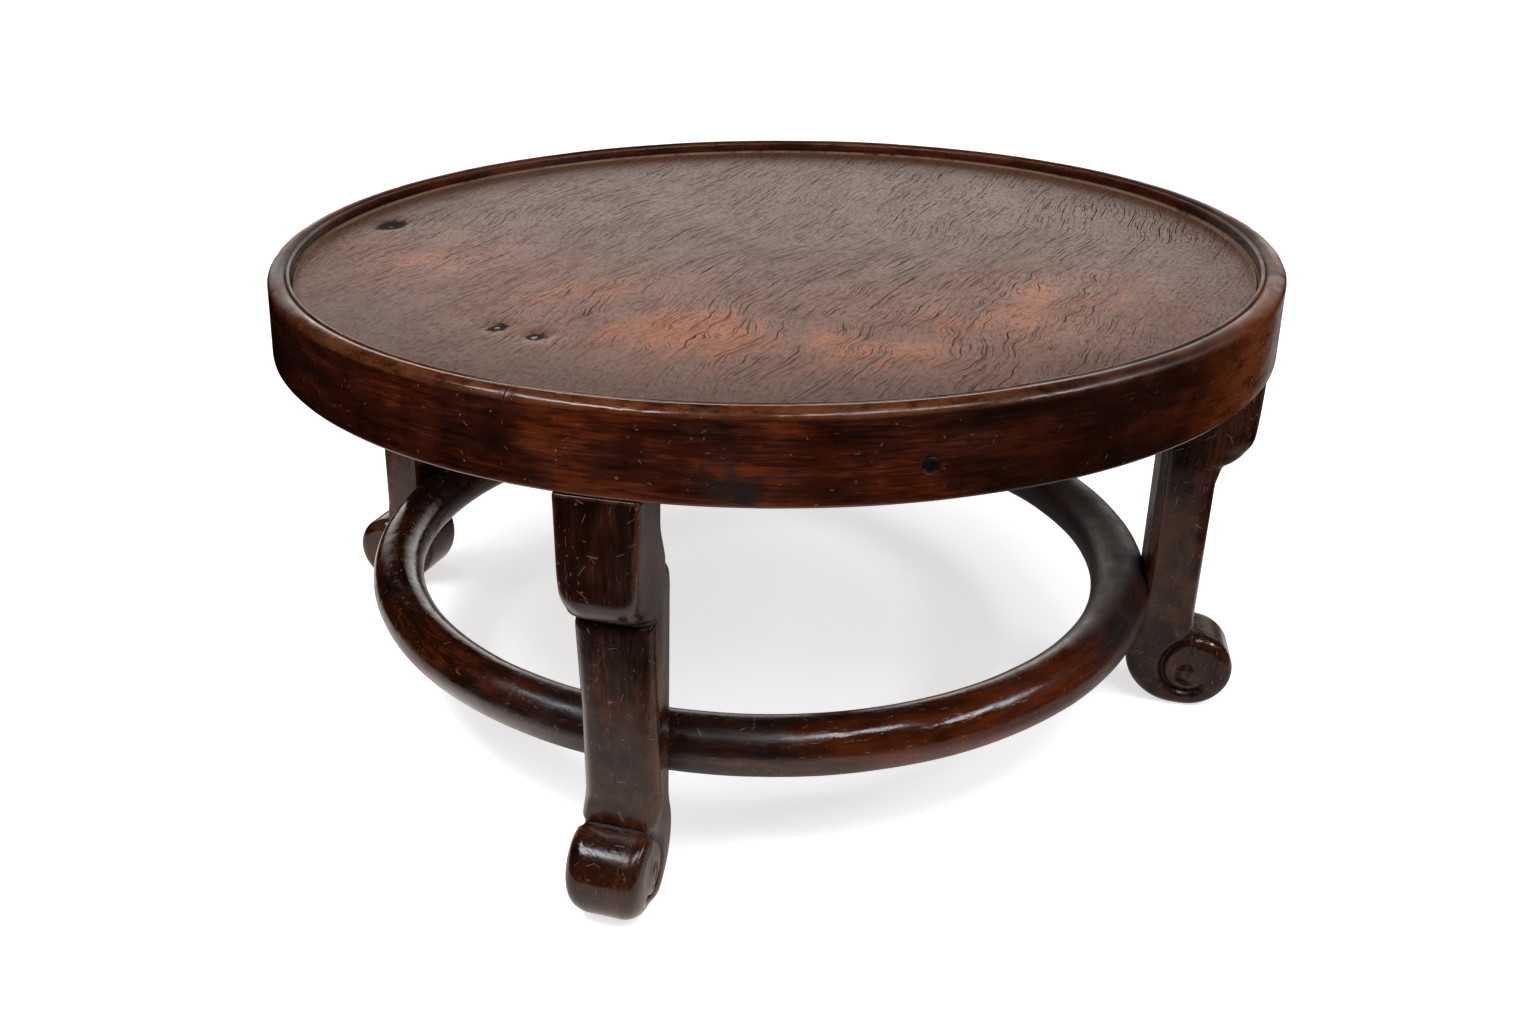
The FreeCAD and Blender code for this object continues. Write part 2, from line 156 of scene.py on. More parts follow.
class Socket:
    """A node's output. Operators on it add Math nodes to its tree."""

    def __init__(self, graph, node, output):
        self.graph = graph
        self.node = node
        self.output = output

    def other(self, name):
        """Another output of the same node."""
        return Socket(self.graph, self.node, self.node.outputs[name])

    def math(self, operation, *others):
        values = dict(enumerate((self,) + others))
        return self.graph.node("ShaderNodeMath", values, operation=operation)

    def __add__(self, other):
        return self.math("ADD", other)

    __radd__ = __add__

    def __sub__(self, other):
        return self.math("SUBTRACT", other)

    def __rsub__(self, other):
        return self.graph.node("ShaderNodeMath", {0: other, 1: self}, operation="SUBTRACT")

    def __mul__(self, other):
        return self.math("MULTIPLY", other)

    __rmul__ = __mul__

    def __truediv__(self, other):
        return self.math("DIVIDE", other)

    def __lt__(self, other):
        return self.math("LESS_THAN", other)

    def __gt__(self, other):
        return self.math("GREATER_THAN", other)

    def at_most(self, other):
        return self.math("MINIMUM", other)

    def at_least(self, other):
        return self.math("MAXIMUM", other)

    def size(self):
        return self.math("ABSOLUTE")

    def root(self):
        return self.math("SQRT")

    def ease(self, low, high):
        """0 below low and 1 above high, with a soft step between."""
        values = {"Value": self, "From Min": low, "From Max": high}
        return self.graph.node("ShaderNodeMapRange", values, interpolation_type="SMOOTHSTEP")

    def fall(self, low, high):
        """1 below low and 0 above high."""
        return 1 - self.ease(low, high)

    def vector(self, operation, other):
        return self.graph.node("ShaderNodeVectorMath", {0: self, 1: other}, operation=operation)

    def scaled(self, share):
        return self.graph.node("ShaderNodeVectorMath", {0: self, "Scale": share}, operation="SCALE")

    def length(self):
        return self.graph.node("ShaderNodeVectorMath", {0: self}, "Value", operation="LENGTH")

    def axes(self):
        """The three parts of a vector."""
        split = self.graph.node("ShaderNodeSeparateXYZ", {0: self})
        return split, split.other("Y"), split.other("Z")


class Graph:
    """A node tree, filled by calls to node()."""

    def __init__(self, tree):
        self.tree = tree

    def node(self, kind, values, output=0, **settings):
        """A new node: its settings first, then the values or links of its sockets."""
        node = self.tree.nodes.new(kind)
        for name, setting in settings.items():
            if name == "stops":
                self.set_stops(node.color_ramp, setting)
            else:
                setattr(node, name, setting)
        for name, value in values.items():
            socket = self.socket(node, name)
            if isinstance(value, Socket):
                self.tree.links.new(value.output, socket)
            else:
                socket.default_value = value
        if not node.outputs:
            return node
        return Socket(self, node, node.outputs[output])

    def socket(self, node, name):
        """A node's input, by place, identifier or name."""
        if isinstance(name, int):
            return node.inputs[name]
        for socket in node.inputs:
            if socket.identifier == name:
                return socket
        return node.inputs[name]

    def set_stops(self, ramp, stops):
        while len(ramp.elements) < len(stops):
            ramp.elements.new(1.0)
        for element, (place, colour) in zip(ramp.elements, stops):
            element.position = place
            element.color = colour + (1.0,)

    def end(self, surface):
        """Ends a material in a surface."""
        self.node("ShaderNodeOutputMaterial", {"Surface": surface})

    def join(self, x, y, z):
        return self.node("ShaderNodeCombineXYZ", {"X": x, "Y": y, "Z": z})

    def ramp(self, value, *stops):
        return self.node("ShaderNodeValToRGB", {0: value}, stops=stops)

    def mix(self, factor, first, second):
        """The first colour, covered by a share of the second, which is the same all over."""
        values = {"Factor_Float": factor, "A_Color": first, "B_Color": second + (1.0,)}
        return self.node("ShaderNodeMix", values, 2, data_type="RGBA")

    def noise(self, vector, scale, detail=2.0, roughness=0.5, distortion=0.0):
        values = {"Vector": vector, "Scale": scale, "Detail": detail, "Roughness": roughness}
        values["Distortion"] = distortion
        return self.node("ShaderNodeTexNoise", values)

    def streaks(self, vector, scales, detail, roughness, distortion=0.0):
        """Noise with a scale of its own along each axis."""
        return self.noise(vector.vector("MULTIPLY", scales), 1.0, detail, roughness, distortion)


# Colours of the finishes, as linear red, green and blue
BAND_RED = ((0.0045, 0.0009, 0.0004), (0.036, 0.0056, 0.0012), (0.105, 0.018, 0.003))
LEG_RED = ((0.004, 0.0011, 0.0005), (0.018, 0.0042, 0.0013), (0.05, 0.012, 0.003))
RING_RED = ((0.004, 0.0012, 0.0006), (0.024, 0.0046, 0.0011), (0.08, 0.016, 0.003))
PLUG_BLACK = ((0.002, 0.0008, 0.0005), (0.005, 0.0018, 0.001), (0.012, 0.004, 0.002))
BURL_BROWN = ((0.07, 0.029, 0.015), (0.1, 0.043, 0.022), (0.14, 0.06, 0.031))
OLD_BLACK = (0.004, 0.0014, 0.0008)
PORE_BLACK = (0.003, 0.0012, 0.0007)
# Dirt and painted shade in hollows and creases
HOLLOW_DIRT_AND_SHADE = (0.0025, 0.0014, 0.001)
RUBBED_EDGE = (0.085, 0.026, 0.009)
PALE_NICK = (0.17, 0.08, 0.04)
# Bare wood of the legs, also used for painted shade by height and painted reflection on their sides
BARE_AND_LIT_LEG = (0.062, 0.02, 0.008)
RING_RUDDY = (0.09, 0.016, 0.003)
RING_BLACK = (0.006, 0.0032, 0.0024)
RING_REAR_BLACK = (0.006, 0.0032, 0.0022)
BAND_SHADE = (0.005, 0.0015, 0.0007)
# Painted sheen for the band's far right end
BAND_PAINTED_SHEEN = (0.14, 0.034, 0.008)
RUBBED_RIM = (0.1, 0.031, 0.011)
SMUDGE_GREY = (0.011, 0.01, 0.0095)
PALE_DUST = (0.36, 0.25, 0.16)
BURL_RUDDY = (0.14, 0.043, 0.018)
BURL_GLOW = (0.25, 0.067, 0.017)
BURL_GRIME = (0.024, 0.011, 0.006)
BURL_PIT = (0.022, 0.011, 0.007)
BURL_GRIT = (0.26, 0.13, 0.075)
BURL_SPECK = (0.26, 0.16, 0.1)
VESSEL_BLACK = (0.004, 0.003, 0.002)
KNOT_HEART = (0.35, 0.27, 0.19)

# Where marks lie: centre, reach and strength of the burl's warm patches; place, radius and depth of its
# knots; and the smudge on the band
WARM_PATCHES = (
    ((0.004, -0.112), (0.05, 0.032), 1.0),
    ((0.066, -0.118), (0.05, 0.024), 0.7),
    ((0.104, -0.076), (0.05, 0.035), 0.57),
    ((0.125, -0.045), (0.035, 0.03), 0.53),
    ((-0.043, -0.075), (0.045, 0.035), 0.6),
    ((-0.125, -0.05), (0.05, 0.035), 0.55),
)
KNOTS = (
    (-0.1685, 0.0, 0.0085, 0.0014),
    (-0.063, -0.125, 0.0054, 0.0006),
    (-0.046, -0.131, 0.0054, 0.0006),
)
KNOT_HEART_REACH = (0.0018, 0.003)
SMUDGE = (0.0433, -0.1953, 0.171)
SMUDGE_SHAPE = (0.6, 0.6, 1.1)
SMUDGE_REACH = (0.002, 0.01)
FRONT = (0.225, -0.974)

# Polish and relief
POLISH_IOR = 1.5
WOOD_RELIEF = 0.0006
PANEL_RELIEF = 0.0005
SCRATCH_WIDTH = 0.00016
SPECK_LENGTH = 0.0004
PANEL_SPECK_LENGTH = 0.0005
SPECK_WIDTH = 0.0003
NICK_LENGTH = 0.0016
LEG_NICK_WIDTH = 0.00013
RING_NICK_WIDTH = 0.00024
STROKE_BOW = 60
ANY_TURN = (6.3, 6.3, 6.3)
MIDDLE_GREY = (0.5, 0.5, 0.5)


def new_material(name):
    material = bpy.data.materials.new(name)
    material.use_nodes = True
    material.node_tree.nodes.clear()
    return material, Graph(material.node_tree)


def stored(graph, name, output):
    """What a piece's points hold under a name."""
    return graph.node("ShaderNodeAttribute", {}, output, attribute_name=name)


def place_on_piece(graph):
    """Where a point lies on the piece, in its own axes: along the grain first."""
    return stored(graph, "grain", "Vector")


def object_place(graph):
    return graph.node("ShaderNodeTexCoord", {}, "Object")


def finish_surface(graph, colour, roughness, height, relief):
    """Ends a material in one Principled surface with a bump for its fine relief."""
    normal = graph.node("ShaderNodeBump", {"Strength": 1.0, "Distance": relief, "Height": height})
    values = {"Base Color": colour, "Roughness": roughness, "Normal": normal, "IOR": POLISH_IOR}
    graph.end(graph.node("ShaderNodeBsdfPrincipled", values))


def strokes(graph, place, density, length, width, share):
    """Short fine strokes lying any way, one in some of the cells of a scattered grid."""
    cell = graph.node("ShaderNodeTexVoronoi", {"Vector": place, "Scale": density})
    chance = cell.other("Color")
    away = place.vector("SUBTRACT", cell.other("Position"))
    values = {"Vector": away, "Rotation": chance.vector("MULTIPLY", ANY_TURN)}
    turned = graph.node("ShaderNodeVectorRotate", values, rotation_type="EULER_XYZ")
    x, y, z = turned.axes()
    first, second, third = chance.axes()
    bow = x * x * (second - 0.5) * STROKE_BOW
    line = ((y + bow).size() / width).fall(0.4, 1.0)
    run = (x.size().at_least(z.size()) / (length * (0.4 + third))).fall(0.8, 1.0)
    return line * run * (first < share) * (0.3 + second * 0.7)


def dashes(graph, flow, spacing, length, width, seed):
    """Thin dashes that follow the flow, one in each cell of a scattered grid."""
    grid = flow.vector("MULTIPLY", (1 / spacing, 1 / length, 0.0)).vector("ADD", (seed, 0.7 * seed, 0.0))
    values = {"Vector": grid, "Scale": 1.0}
    cell = graph.node("ShaderNodeTexVoronoi", values, voronoi_dimensions="2D")
    x, y, _ = grid.vector("SUBTRACT", cell.other("Position")).axes()
    first, second, _ = cell.other("Color").axes()
    share = y / (0.25 + first * 0.45)
    reach = (1 - share * share).at_least(0.0) * (0.4 + second) * (width / spacing) + 1e-5
    return (x.size() / reach).fall(0.5, 1.0)


class Wood:
    """An old hardwood while its finish is built up: its noises, colour and roughness."""

    def __init__(self, graph, place, tones, grain_scale, gloss):
        self.graph = graph
        self.place = place
        self.spot = object_place(graph)
        self.roughness = gloss
        along = place.vector("MULTIPLY", grain_scale)
        self.figure = graph.noise(along, 1.0, 4.0, 0.6, 0.4)
        self.fibre = graph.streaks(along, (4.0, 9.0, 9.0), 3.0, 0.7)
        self.pores = graph.streaks(along, (5.0, 16.0, 16.0), 2.0, 0.6).ease(0.6, 0.72)
        self.patchy = graph.streaks(along, (3.0, 2.0, 2.0), 5.0, 0.7)
        self.cloud = graph.noise(place, 38.0, 5.0, 0.6)
        self.mottle = graph.noise(place, 130.0, 6.0, 0.7)
        tone = (self.figure * 0.55 + self.cloud * 0.5 + self.fibre * 0.4 - 0.22).ease(0.3, 0.72)
        self.colour = graph.ramp(tone, *zip((0.0, 0.55, 1.0), tones))

    def tint(self, share, colour):
        self.colour = self.graph.mix(share, self.colour, colour)

    def nicks(self, density, width):
        """Strokes that lie apart from the scratches of every wood."""
        place = self.place.vector("ADD", (0.6, 1.3, 0.2))
        return strokes(self.graph, place, density, NICK_LENGTH, width, 0.6)


def scuffed_and_shaded_leg(wood):
    """Bare patches low on the shaft and on the leg's sides, where a painted shade by height leaves the
    sides dark under the block and by the ring, and a painted reflection lightens the sides of the rolls.
    Returns the leg's own nicks.
    """
    level = wood.spot.axes()[2]
    side = wood.place.axes()[1].size().ease(0.0112, 0.0128)
    above_roll = level.ease(0.028, 0.036)
    low = level.fall(0.045, 0.1) * (0.2 + above_roll * 0.8)
    # Painted shade by height: the sides are lightened only between the ring and the block, so they stay
    # dark under the block and by the ring
    lit_waist = level.ease(0.05, 0.075) * level.fall(0.09, 0.12)
    # Painted reflection: the sides of the rolls are lightened
    foot = level.fall(0.03, 0.04)
    bare = (low + side * (lit_waist * 0.9 + foot * 0.6)).at_most(1.0)
    patches = (wood.mottle + wood.cloud - 0.5).ease(0.25, 0.7)
    # Bare patches of wear, together with the painted shade and painted reflection on the sides
    wood.tint(patches * bare * 0.8, BARE_AND_LIT_LEG)
    return wood.nicks(240.0, LEG_NICK_WIDTH)


def stained_ring(wood):
    """Ruddy in front at the right, black by the front leg and dull behind. Returns the ring's own nicks."""
    x, y, _ = wood.spot.axes()
    ragged = (wood.cloud - 0.5) * 0.05
    ruddy = (x + (wood.mottle - 0.5) * 0.06).ease(0.02, 0.1) * y.fall(-0.12, -0.02)
    wood.tint(ruddy * wood.figure.ease(0.3, 0.65) * 0.75, RING_RUDDY)
    by_leg = (x.size() + ragged).fall(0.025, 0.085) * y.fall(-0.1, -0.05)
    wood.tint(by_leg * 0.75, RING_BLACK)
    rear = (x + ragged).ease(0.09, 0.13) * y.ease(-0.09, -0.04)
    wood.tint(rear * 0.6, RING_REAR_BLACK)
    wood.roughness += rear * 0.3 + by_leg * 0.14
    return wood.nicks(220.0, RING_NICK_WIDTH) * by_leg


def worn_band_with_painted_light(wood):
    """Painted shade that darkens the front of the band towards its sides, a painted sheen at its far right
    end, a rubbed rim, a smudge, and dust in the gap round the panel.
    """
    x, y, z = wood.spot.axes()
    aside = x.size()
    before = y.fall(-0.05, 0.0)
    far_right = x.ease(0.165, 0.19)
    # Painted shade: the band's front half darker towards its left and right ends
    wood.tint(aside.ease(0.06, 0.13) * (1 - far_right) * before * 0.7, BAND_SHADE)
    # Painted sheen: a brighter red at the band's far right end in front
    wood.tint(far_right * before * wood.patchy.ease(0.3, 0.6) * 0.65, BAND_PAINTED_SHEEN)
    crown = z.ease(HEIGHT - 0.0035, HEIGHT - 0.0012)
    rubbed = crown * (wood.mottle * 0.7 + wood.patchy * 0.3).ease(0.38, 0.6)
    rubbed *= (1 - y.ease(0.0, 0.15) * 0.6) * (1 - aside.ease(0.08, 0.16) * 0.65)
    wood.tint(rubbed * 0.9, RUBBED_RIM)
    away = wood.spot.vector("SUBTRACT", SMUDGE).vector("MULTIPLY", SMUDGE_SHAPE).length()
    away += (wood.mottle - 0.5) * 0.03 + (wood.cloud - 0.5) * 0.02
    wood.tint(away.fall(*SMUDGE_REACH) * 0.8, SMUDGE_GREY)
    inside = (x * x + y * y).root().fall(LIP_INNER + 0.0003, LIP_INNER + 0.0006)
    in_gap = z.ease(PANEL_TOP - 0.004, PANEL_TOP - 0.003)
    in_gap *= z.fall(PANEL_TOP + 0.0002, PANEL_TOP + 0.0009)
    dust = inside * in_gap * dust_patches(wood.graph, wood.place)
    wood.tint(dust * 0.75, PALE_DUST)
    wood.roughness += crown * aside.ease(0.1, 0.17) * 0.22 + dust * 0.5


def dust_patches(graph, place):
    return graph.noise(place, 40.0, 7.0, 0.8).ease(0.34, 0.54)


def old_wood(
    name, tones, grain_scale, gloss, scratch_length, place_of=place_on_piece, stain_and_shade=None, wear_and_painted_light=None
):
    """Dark polished hardwood: streaked figure, blackened patches, open pores, specks and scratches.
    A stain, which on the legs also paints shade and reflection, is put on the bare wood and brings nicks of
    its own; wear, which on the band also paints shade and a sheen, is put on the polish. Hollows get dirt
    and painted shade."""
    material, graph = new_material(name)
    place = place_of(graph)
    wood = Wood(graph, place, tones, grain_scale, gloss)
    blackened = graph.noise(place.vector("ADD", (0.31, 0.17, 0.53)), 15.0, 6.0, 0.68)
    wood.tint(blackened.ease(0.52, 0.66) * 0.75, OLD_BLACK)
    wood.tint(wood.pores * 0.5, PORE_BLACK)
    scratch = strokes(graph, place, 230.0, scratch_length, SCRATCH_WIDTH, 0.6)
    speck = strokes(graph, place.vector("ADD", (1.7, 0.4, 0.9)), 330.0, SPECK_LENGTH, SPECK_WIDTH, 0.4)
    worn = scratch.at_least(speck)
    if stain_and_shade:
        worn = worn.at_least(stain_and_shade(wood))
    edge = stored(graph, "edge", "Fac")
    hollow = stored(graph, "hollow", "Fac")
    rubbed = (edge * 0.3 + wood.patchy - 0.3).ease(0.32, 0.62) * edge
    wood.tint(rubbed * 0.55, RUBBED_EDGE)
    # Dirt and painted shade: the colour darkens where the surface lies in, in creases and grooves
    wood.tint(hollow * 0.85, HOLLOW_DIRT_AND_SHADE)
    wood.tint(worn * 0.6, PALE_NICK)
    smear = graph.noise(place, 55.0, 4.0, 0.6).ease(0.3, 0.75)
    wood.roughness += smear * 0.16 + wood.fibre.ease(0.4, 0.7) * 0.08
    wood.roughness += worn * 0.25 + hollow * 0.2
    if wear_and_painted_light:
        wear_and_painted_light(wood)
    dents = graph.noise(place, 55.0, 2.0, 0.5) + graph.noise(place, 260.0, 3.0, 0.6) * 0.16
    height = dents * 0.6 - wood.pores * 0.04 - worn * 0.08 + wood.mottle * 0.05
    finish_surface(graph, wood.colour, wood.roughness, height, WOOD_RELIEF)
    return material


def warm_patches(place):
    """How strongly a place on the panel lies in a warm patch, and how near it is to one."""
    warm = broad = 0.0
    for centre, reach, strength in WARM_PATCHES:
        away = place.vector("SUBTRACT", centre + (0.0,)).vector("DIVIDE", reach + (1.0,)).length()
        warm = (away.fall(0.1, 1.3) * strength).at_least(warm)
        broad = away.fall(0.4, 2.4).at_least(broad)
    return warm, broad


def vessel_lines(graph, flow):
    """Open vessels of the burl: bold, plain and fine dashes, missing here and there."""
    bold = dashes(graph, flow, 0.006, 0.03, 0.00023, 3.1)
    plain = dashes(graph, flow, 0.0042, 0.022, 0.00019, 7.7)
    fine = dashes(graph, flow, 0.0028, 0.013, 0.00014, 11.3) * 0.8
    finest = dashes(graph, flow, 0.0019, 0.008, 0.00012, 5.9) * 0.7
    gate = graph.streaks(flow, (60.0, 24.0, 1.0), 3.0, 0.6).ease(0.36, 0.56)
    return bold.at_least(plain).at_least(fine.at_least(finest)) * gate


def knotted(graph, flat, colour):
    """The colour with black knots and their pale hearts, and where the knots are."""
    knots = 0.0
    for x, y, radius, _ in KNOTS:
        away = flat.vector("SUBTRACT", (x, y, 0.0)).vector("MULTIPLY", (1.0, 0.8, 0.0)).length()
        away += (graph.noise(flat, 230.0, 4.0, 0.7) - 0.3) * 0.009
        knot = away.fall(radius * 0.75, radius * 1.15)
        colour = graph.mix(knot, colour, VESSEL_BLACK)
        colour = graph.mix(away.fall(*KNOT_HEART_REACH) * 0.8, colour, KNOT_HEART)
        knots = knot.at_least(knots)
    return colour, knots


def panel_burl():
    """The panel's burl: vessel lines that swirl round warm patches, a grey wax bloom and knots."""
    material, graph = new_material("panel_burl")
    x, y, _ = object_place(graph).axes()
    flat = graph.join(x, y, 0.0)
    drift = graph.noise(flat, 7.0, 2.0, 0.5).other("Color").vector("SUBTRACT", MIDDLE_GREY)
    drift = drift.vector("MULTIPLY", (0.05, 0.03, 0.0))
    warm, broad = warm_patches(flat.vector("ADD", drift))
    flow = graph.join(x - y * 0.2, y, 0.0).vector("ADD", drift)
    ragged = graph.streaks(flow, (70.0, 26.0, 1.0), 4.0, 0.65) - 0.5
    swirl = graph.noise(flat, 55.0, 1.0, 0.5).other("Color").vector("SUBTRACT", MIDDLE_GREY)
    curl = swirl.scaled(0.0015 + broad * 0.004 + warm * 0.011)
    flow = flow.vector("ADD", curl.vector("MULTIPLY", (1.0, 0.4, 0.0)))
    streak = graph.streaks(flow, (170.0, 9.0, 1.0), 6.0, 0.7)
    thread = graph.streaks(flow, (520.0, 16.0, 1.0), 3.0, 0.6)
    cloud = graph.streaks(flow, (24.0, 12.0, 1.0), 4.0, 0.6)
    front = x * FRONT[0] + y * FRONT[1] + (cloud - 0.5) * 0.12
    right = (x + (cloud - 0.5) * 0.06).ease(0.12, 0.165) * y.fall(0.0, 0.07)
    bare = (front - x * 0.6).ease(0.09, 0.18).at_least(right * 0.85)
    vessel = vessel_lines(graph, flow) * (1 - bare * 0.8)
    colour = graph.ramp(streak * 0.6 + cloud * 0.4, *zip((0.3, 0.55, 0.75), BURL_BROWN))
    broken = (streak - 0.5) * 0.8 + (thread - 0.5) * 0.7
    colour = graph.mix((broad * 0.9 + ragged * 1.3 + broken).ease(0.1, 1.0) * 0.8, colour, BURL_RUDDY)
    glow = (warm * 1.2 + ragged * 1.8 + broken * 1.6 - 0.14).ease(0.25, 0.9)
    colour = graph.mix(glow, colour, BURL_GLOW)
    out = flat.length()
    grime = out.ease(0.14, 0.186) * (0.3 + cloud * 0.7) * (0.45 + front.ease(0.05, 0.16) * 0.55)
    colour = graph.mix(grime * 0.75, colour, BURL_GRIME)
    grit = graph.streaks(flow, (800.0, 300.0, 1.0), 3.0, 0.7)
    pits = grit.ease(0.46, 0.68)
    colour = graph.mix(pits * 0.6, colour, BURL_PIT)
    colour = graph.mix(grit.fall(0.3, 0.46) * 0.22, colour, BURL_GRIT)
    colour = graph.mix(vessel * 0.95, colour, VESSEL_BLACK)
    colour, knots = knotted(graph, flat, colour)
    dust = out.ease(PANEL_EDGE - 0.0015, PANEL_EDGE - 0.0004) * dust_patches(graph, flat)
    colour = graph.mix(dust * 0.75, colour, PALE_DUST)
    speck = strokes(graph, flat, 200.0, PANEL_SPECK_LENGTH, SPECK_WIDTH, 0.45)
    colour = graph.mix(speck * 0.3, colour, BURL_SPECK)
    bloom = graph.noise(flat, 30.0, 5.0, 0.65)
    roughness = 0.26 + bloom * 0.16 + pits * 0.14 + grime * 0.12 + vessel * 0.7 + dust * 0.3 + knots * 0.6
    height = graph.noise(flat, 45.0, 3.0, 0.5) * 0.5 + graph.noise(flat, 300.0, 4.0, 0.65) * 0.06
    height = height - vessel * 0.2 + streak * 0.06 - pits * 0.035
    finish_surface(graph, colour, roughness, height, PANEL_RELIEF)
    return material


finishes = {
    "panel_burl": panel_burl(),
    "frame_wood": old_wood("frame_wood", BAND_RED, (24.0, 110.0, 110.0), 0.08, 0.0006, wear_and_painted_light=worn_band_with_painted_light),
    "leg_wood": old_wood("leg_wood", LEG_RED, (20.0, 90.0, 90.0), 0.1, 0.0014, stain_and_shade=scuffed_and_shaded_leg),
    "ring_wood": old_wood("ring_wood", RING_RED, (26.0, 90.0, 90.0), 0.08, 0.0011, stain_and_shade=stained_ring),
    "plug_wood": old_wood("plug_wood", PLUG_BLACK, (60.0, 60.0, 60.0), 0.2, 0.0008, object_place),
    "inner_wood": old_wood("inner_wood", BAND_RED, (18.0, 90.0, 90.0), 0.4, 0.0008, object_place),
}

# The CAD pieces that stay in view all lie inside
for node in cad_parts.values():
    node.data.materials.clear()
    node.data.materials.append(finishes["inner_wood"])


# Shapes that are swept round the axis
def curve_points(centre, radius, start, end, steps):
    """Points along an arc in a section, with angles from outwards towards up."""
    turns = [math.radians(start + (end - start) * step / steps) for step in range(steps + 1)]
    return [(centre[0] + radius * math.cos(turn), centre[1] + radius * math.sin(turn)) for turn in turns]


def closed_section(corners, step):
    """Section with no run longer than a step, ending where it starts."""
    points = []
    for (r, z), (next_r, next_z) in zip(corners, corners[1:] + corners[:1]):
        parts = max(1, math.ceil(math.hypot(next_r - r, next_z - z) / step))
        shares = [part / parts for part in range(parts)]
        points += [(r + (next_r - r) * share, z + (next_z - z) * share) for share in shares]
    return points + points[:1]


def swept_round_tree():
    """Node tree that sweeps a section round the stand's axis. With a lap, the arc's upper half starts
    a lap early and its lower half ends a lap late, as in a scarfed ring."""
    tree = bpy.data.node_groups.new("swept_round", "GeometryNodeTree")
    kinds = {"Section": "Object", "Section Points": "Int", "Rows": "Int", "Lap Rows": "Int"}
    kinds.update(dict.fromkeys(("Start", "Sweep", "Lap", "Lap Level", "Waver"), "Float"))
    kinds["Material"] = "Material"
    for name, kind in kinds.items():
        tree.interface.new_socket(name=name, in_out="INPUT", socket_type="NodeSocket" + kind)
    tree.interface.new_socket(name="Geometry", in_out="OUTPUT", socket_type="NodeSocketGeometry")
    graph = Graph(tree)
    given = graph.node("NodeGroupInput", {})
    points, rows, lap_rows = (given.other(name) for name in ("Section Points", "Rows", "Lap Rows"))
    start, sweep, lap = (given.other(name) for name in ("Start", "Sweep", "Lap"))
    all_rows = rows + 1 + 2 * (lap_rows + 1)
    grid = {"Size X": 1.0, "Size Y": 1.0, "Vertices X": all_rows, "Vertices Y": points}
    sheet = graph.node("GeometryNodeMeshGrid", grid)
    here = graph.node("GeometryNodeInputPosition", {})
    x, y, _ = here.axes()
    row = ((x + 0.5) * (all_rows - 1)).math("ROUND")
    second = row - lap_rows - 1
    third = second - rows - 1
    run = lap * (row / lap_rows).at_most(1.0)
    run += (sweep - lap) * (second / rows).at_least(0.0).at_most(1.0)
    run += lap * (third / lap_rows).at_least(0.0)
    angle = start + run
    section = graph.node("GeometryNodeObjectInfo", {"Object": given}, "Geometry")
    values = {"Geometry": section, "Value": here, "Index": ((y + 0.5) * (points - 1)).math("ROUND")}
    corner = graph.node("GeometryNodeSampleIndex", values, data_type="FLOAT_VECTOR")
    radius, _, height = corner.axes()
    level = given.other("Lap Level")
    lapped = lap > 0.0
    upper = (second < -0.5) * lapped
    lower = (third > -0.5) * lapped
    height += upper * (height.at_least(level) - height)
    height += lower * (height.at_most(level) - height)
    place = graph.join(radius * angle.math("COSINE"), radius * angle.math("SINE"), height)
    grain = graph.join(angle * RING_RADIUS, height, radius)
    values = {"Geometry": sheet, "Name": "grain", "Value": grain}
    shape = graph.node("GeometryNodeStoreNamedAttribute", values, data_type="FLOAT_VECTOR")
    shape = graph.node("GeometryNodeSetPosition", {"Geometry": shape, "Position": place})
    shape = graph.node("GeometryNodeMergeByDistance", {"Geometry": shape, "Distance": 1e-6})
    wander = graph.noise(here, 24.0, 3.0) - 0.5
    push = graph.node("GeometryNodeInputNormal", {}).scaled(wander * given.other("Waver"))
    shape = graph.node("GeometryNodeSetPosition", {"Geometry": shape, "Offset": push})
    shape = graph.node("GeometryNodeRealizeInstances", {"Geometry": shape})
    material = given.other("Material")
    shape = graph.node("GeometryNodeSetMaterial", {"Geometry": shape, "Material": material})
    graph.node("NodeGroupOutput", {"Geometry": shape})
    return tree


def new_piece(name, mesh):
    piece = bpy.data.objects.new(name, mesh)
    bpy.context.scene.collection.objects.link(piece)
    return piece


def mesh_of(shape, name):
    """A new mesh from an edited shape, which is let go."""
    mesh = bpy.data.meshes.new(name)
    shape.to_mesh(mesh)
    shape.free()
    return mesh


def add_cylinder(shape, radius, depth, caps, place):
    bmesh.ops.create_cone(
        shape, cap_ends=caps, segments=64, radius1=radius, radius2=radius, depth=depth, matrix=place
    )


def settled(piece):
    """The piece's mesh as its modifiers make it; the modifiers go."""
    depsgraph = bpy.context.evaluated_depsgraph_get()
    mesh = bpy.data.meshes.new_from_object(
        piece.evaluated_get(depsgraph), preserve_all_data_layers=True, depsgraph=depsgraph
    )
    piece.modifiers.clear()
    piece.data = mesh
    return mesh


def closed_mesh(mesh):
    """Caps the open ends of a mesh and points its faces outwards."""
    shape = bmesh.new()
    shape.from_mesh(mesh)
    open_edges = [edge for edge in shape.edges if edge.is_boundary]
    bmesh.ops.holes_fill(shape, edges=open_edges)
    bmesh.ops.recalc_face_normals(shape, faces=shape.faces)
    shape.to_mesh(mesh)
    shape.free()


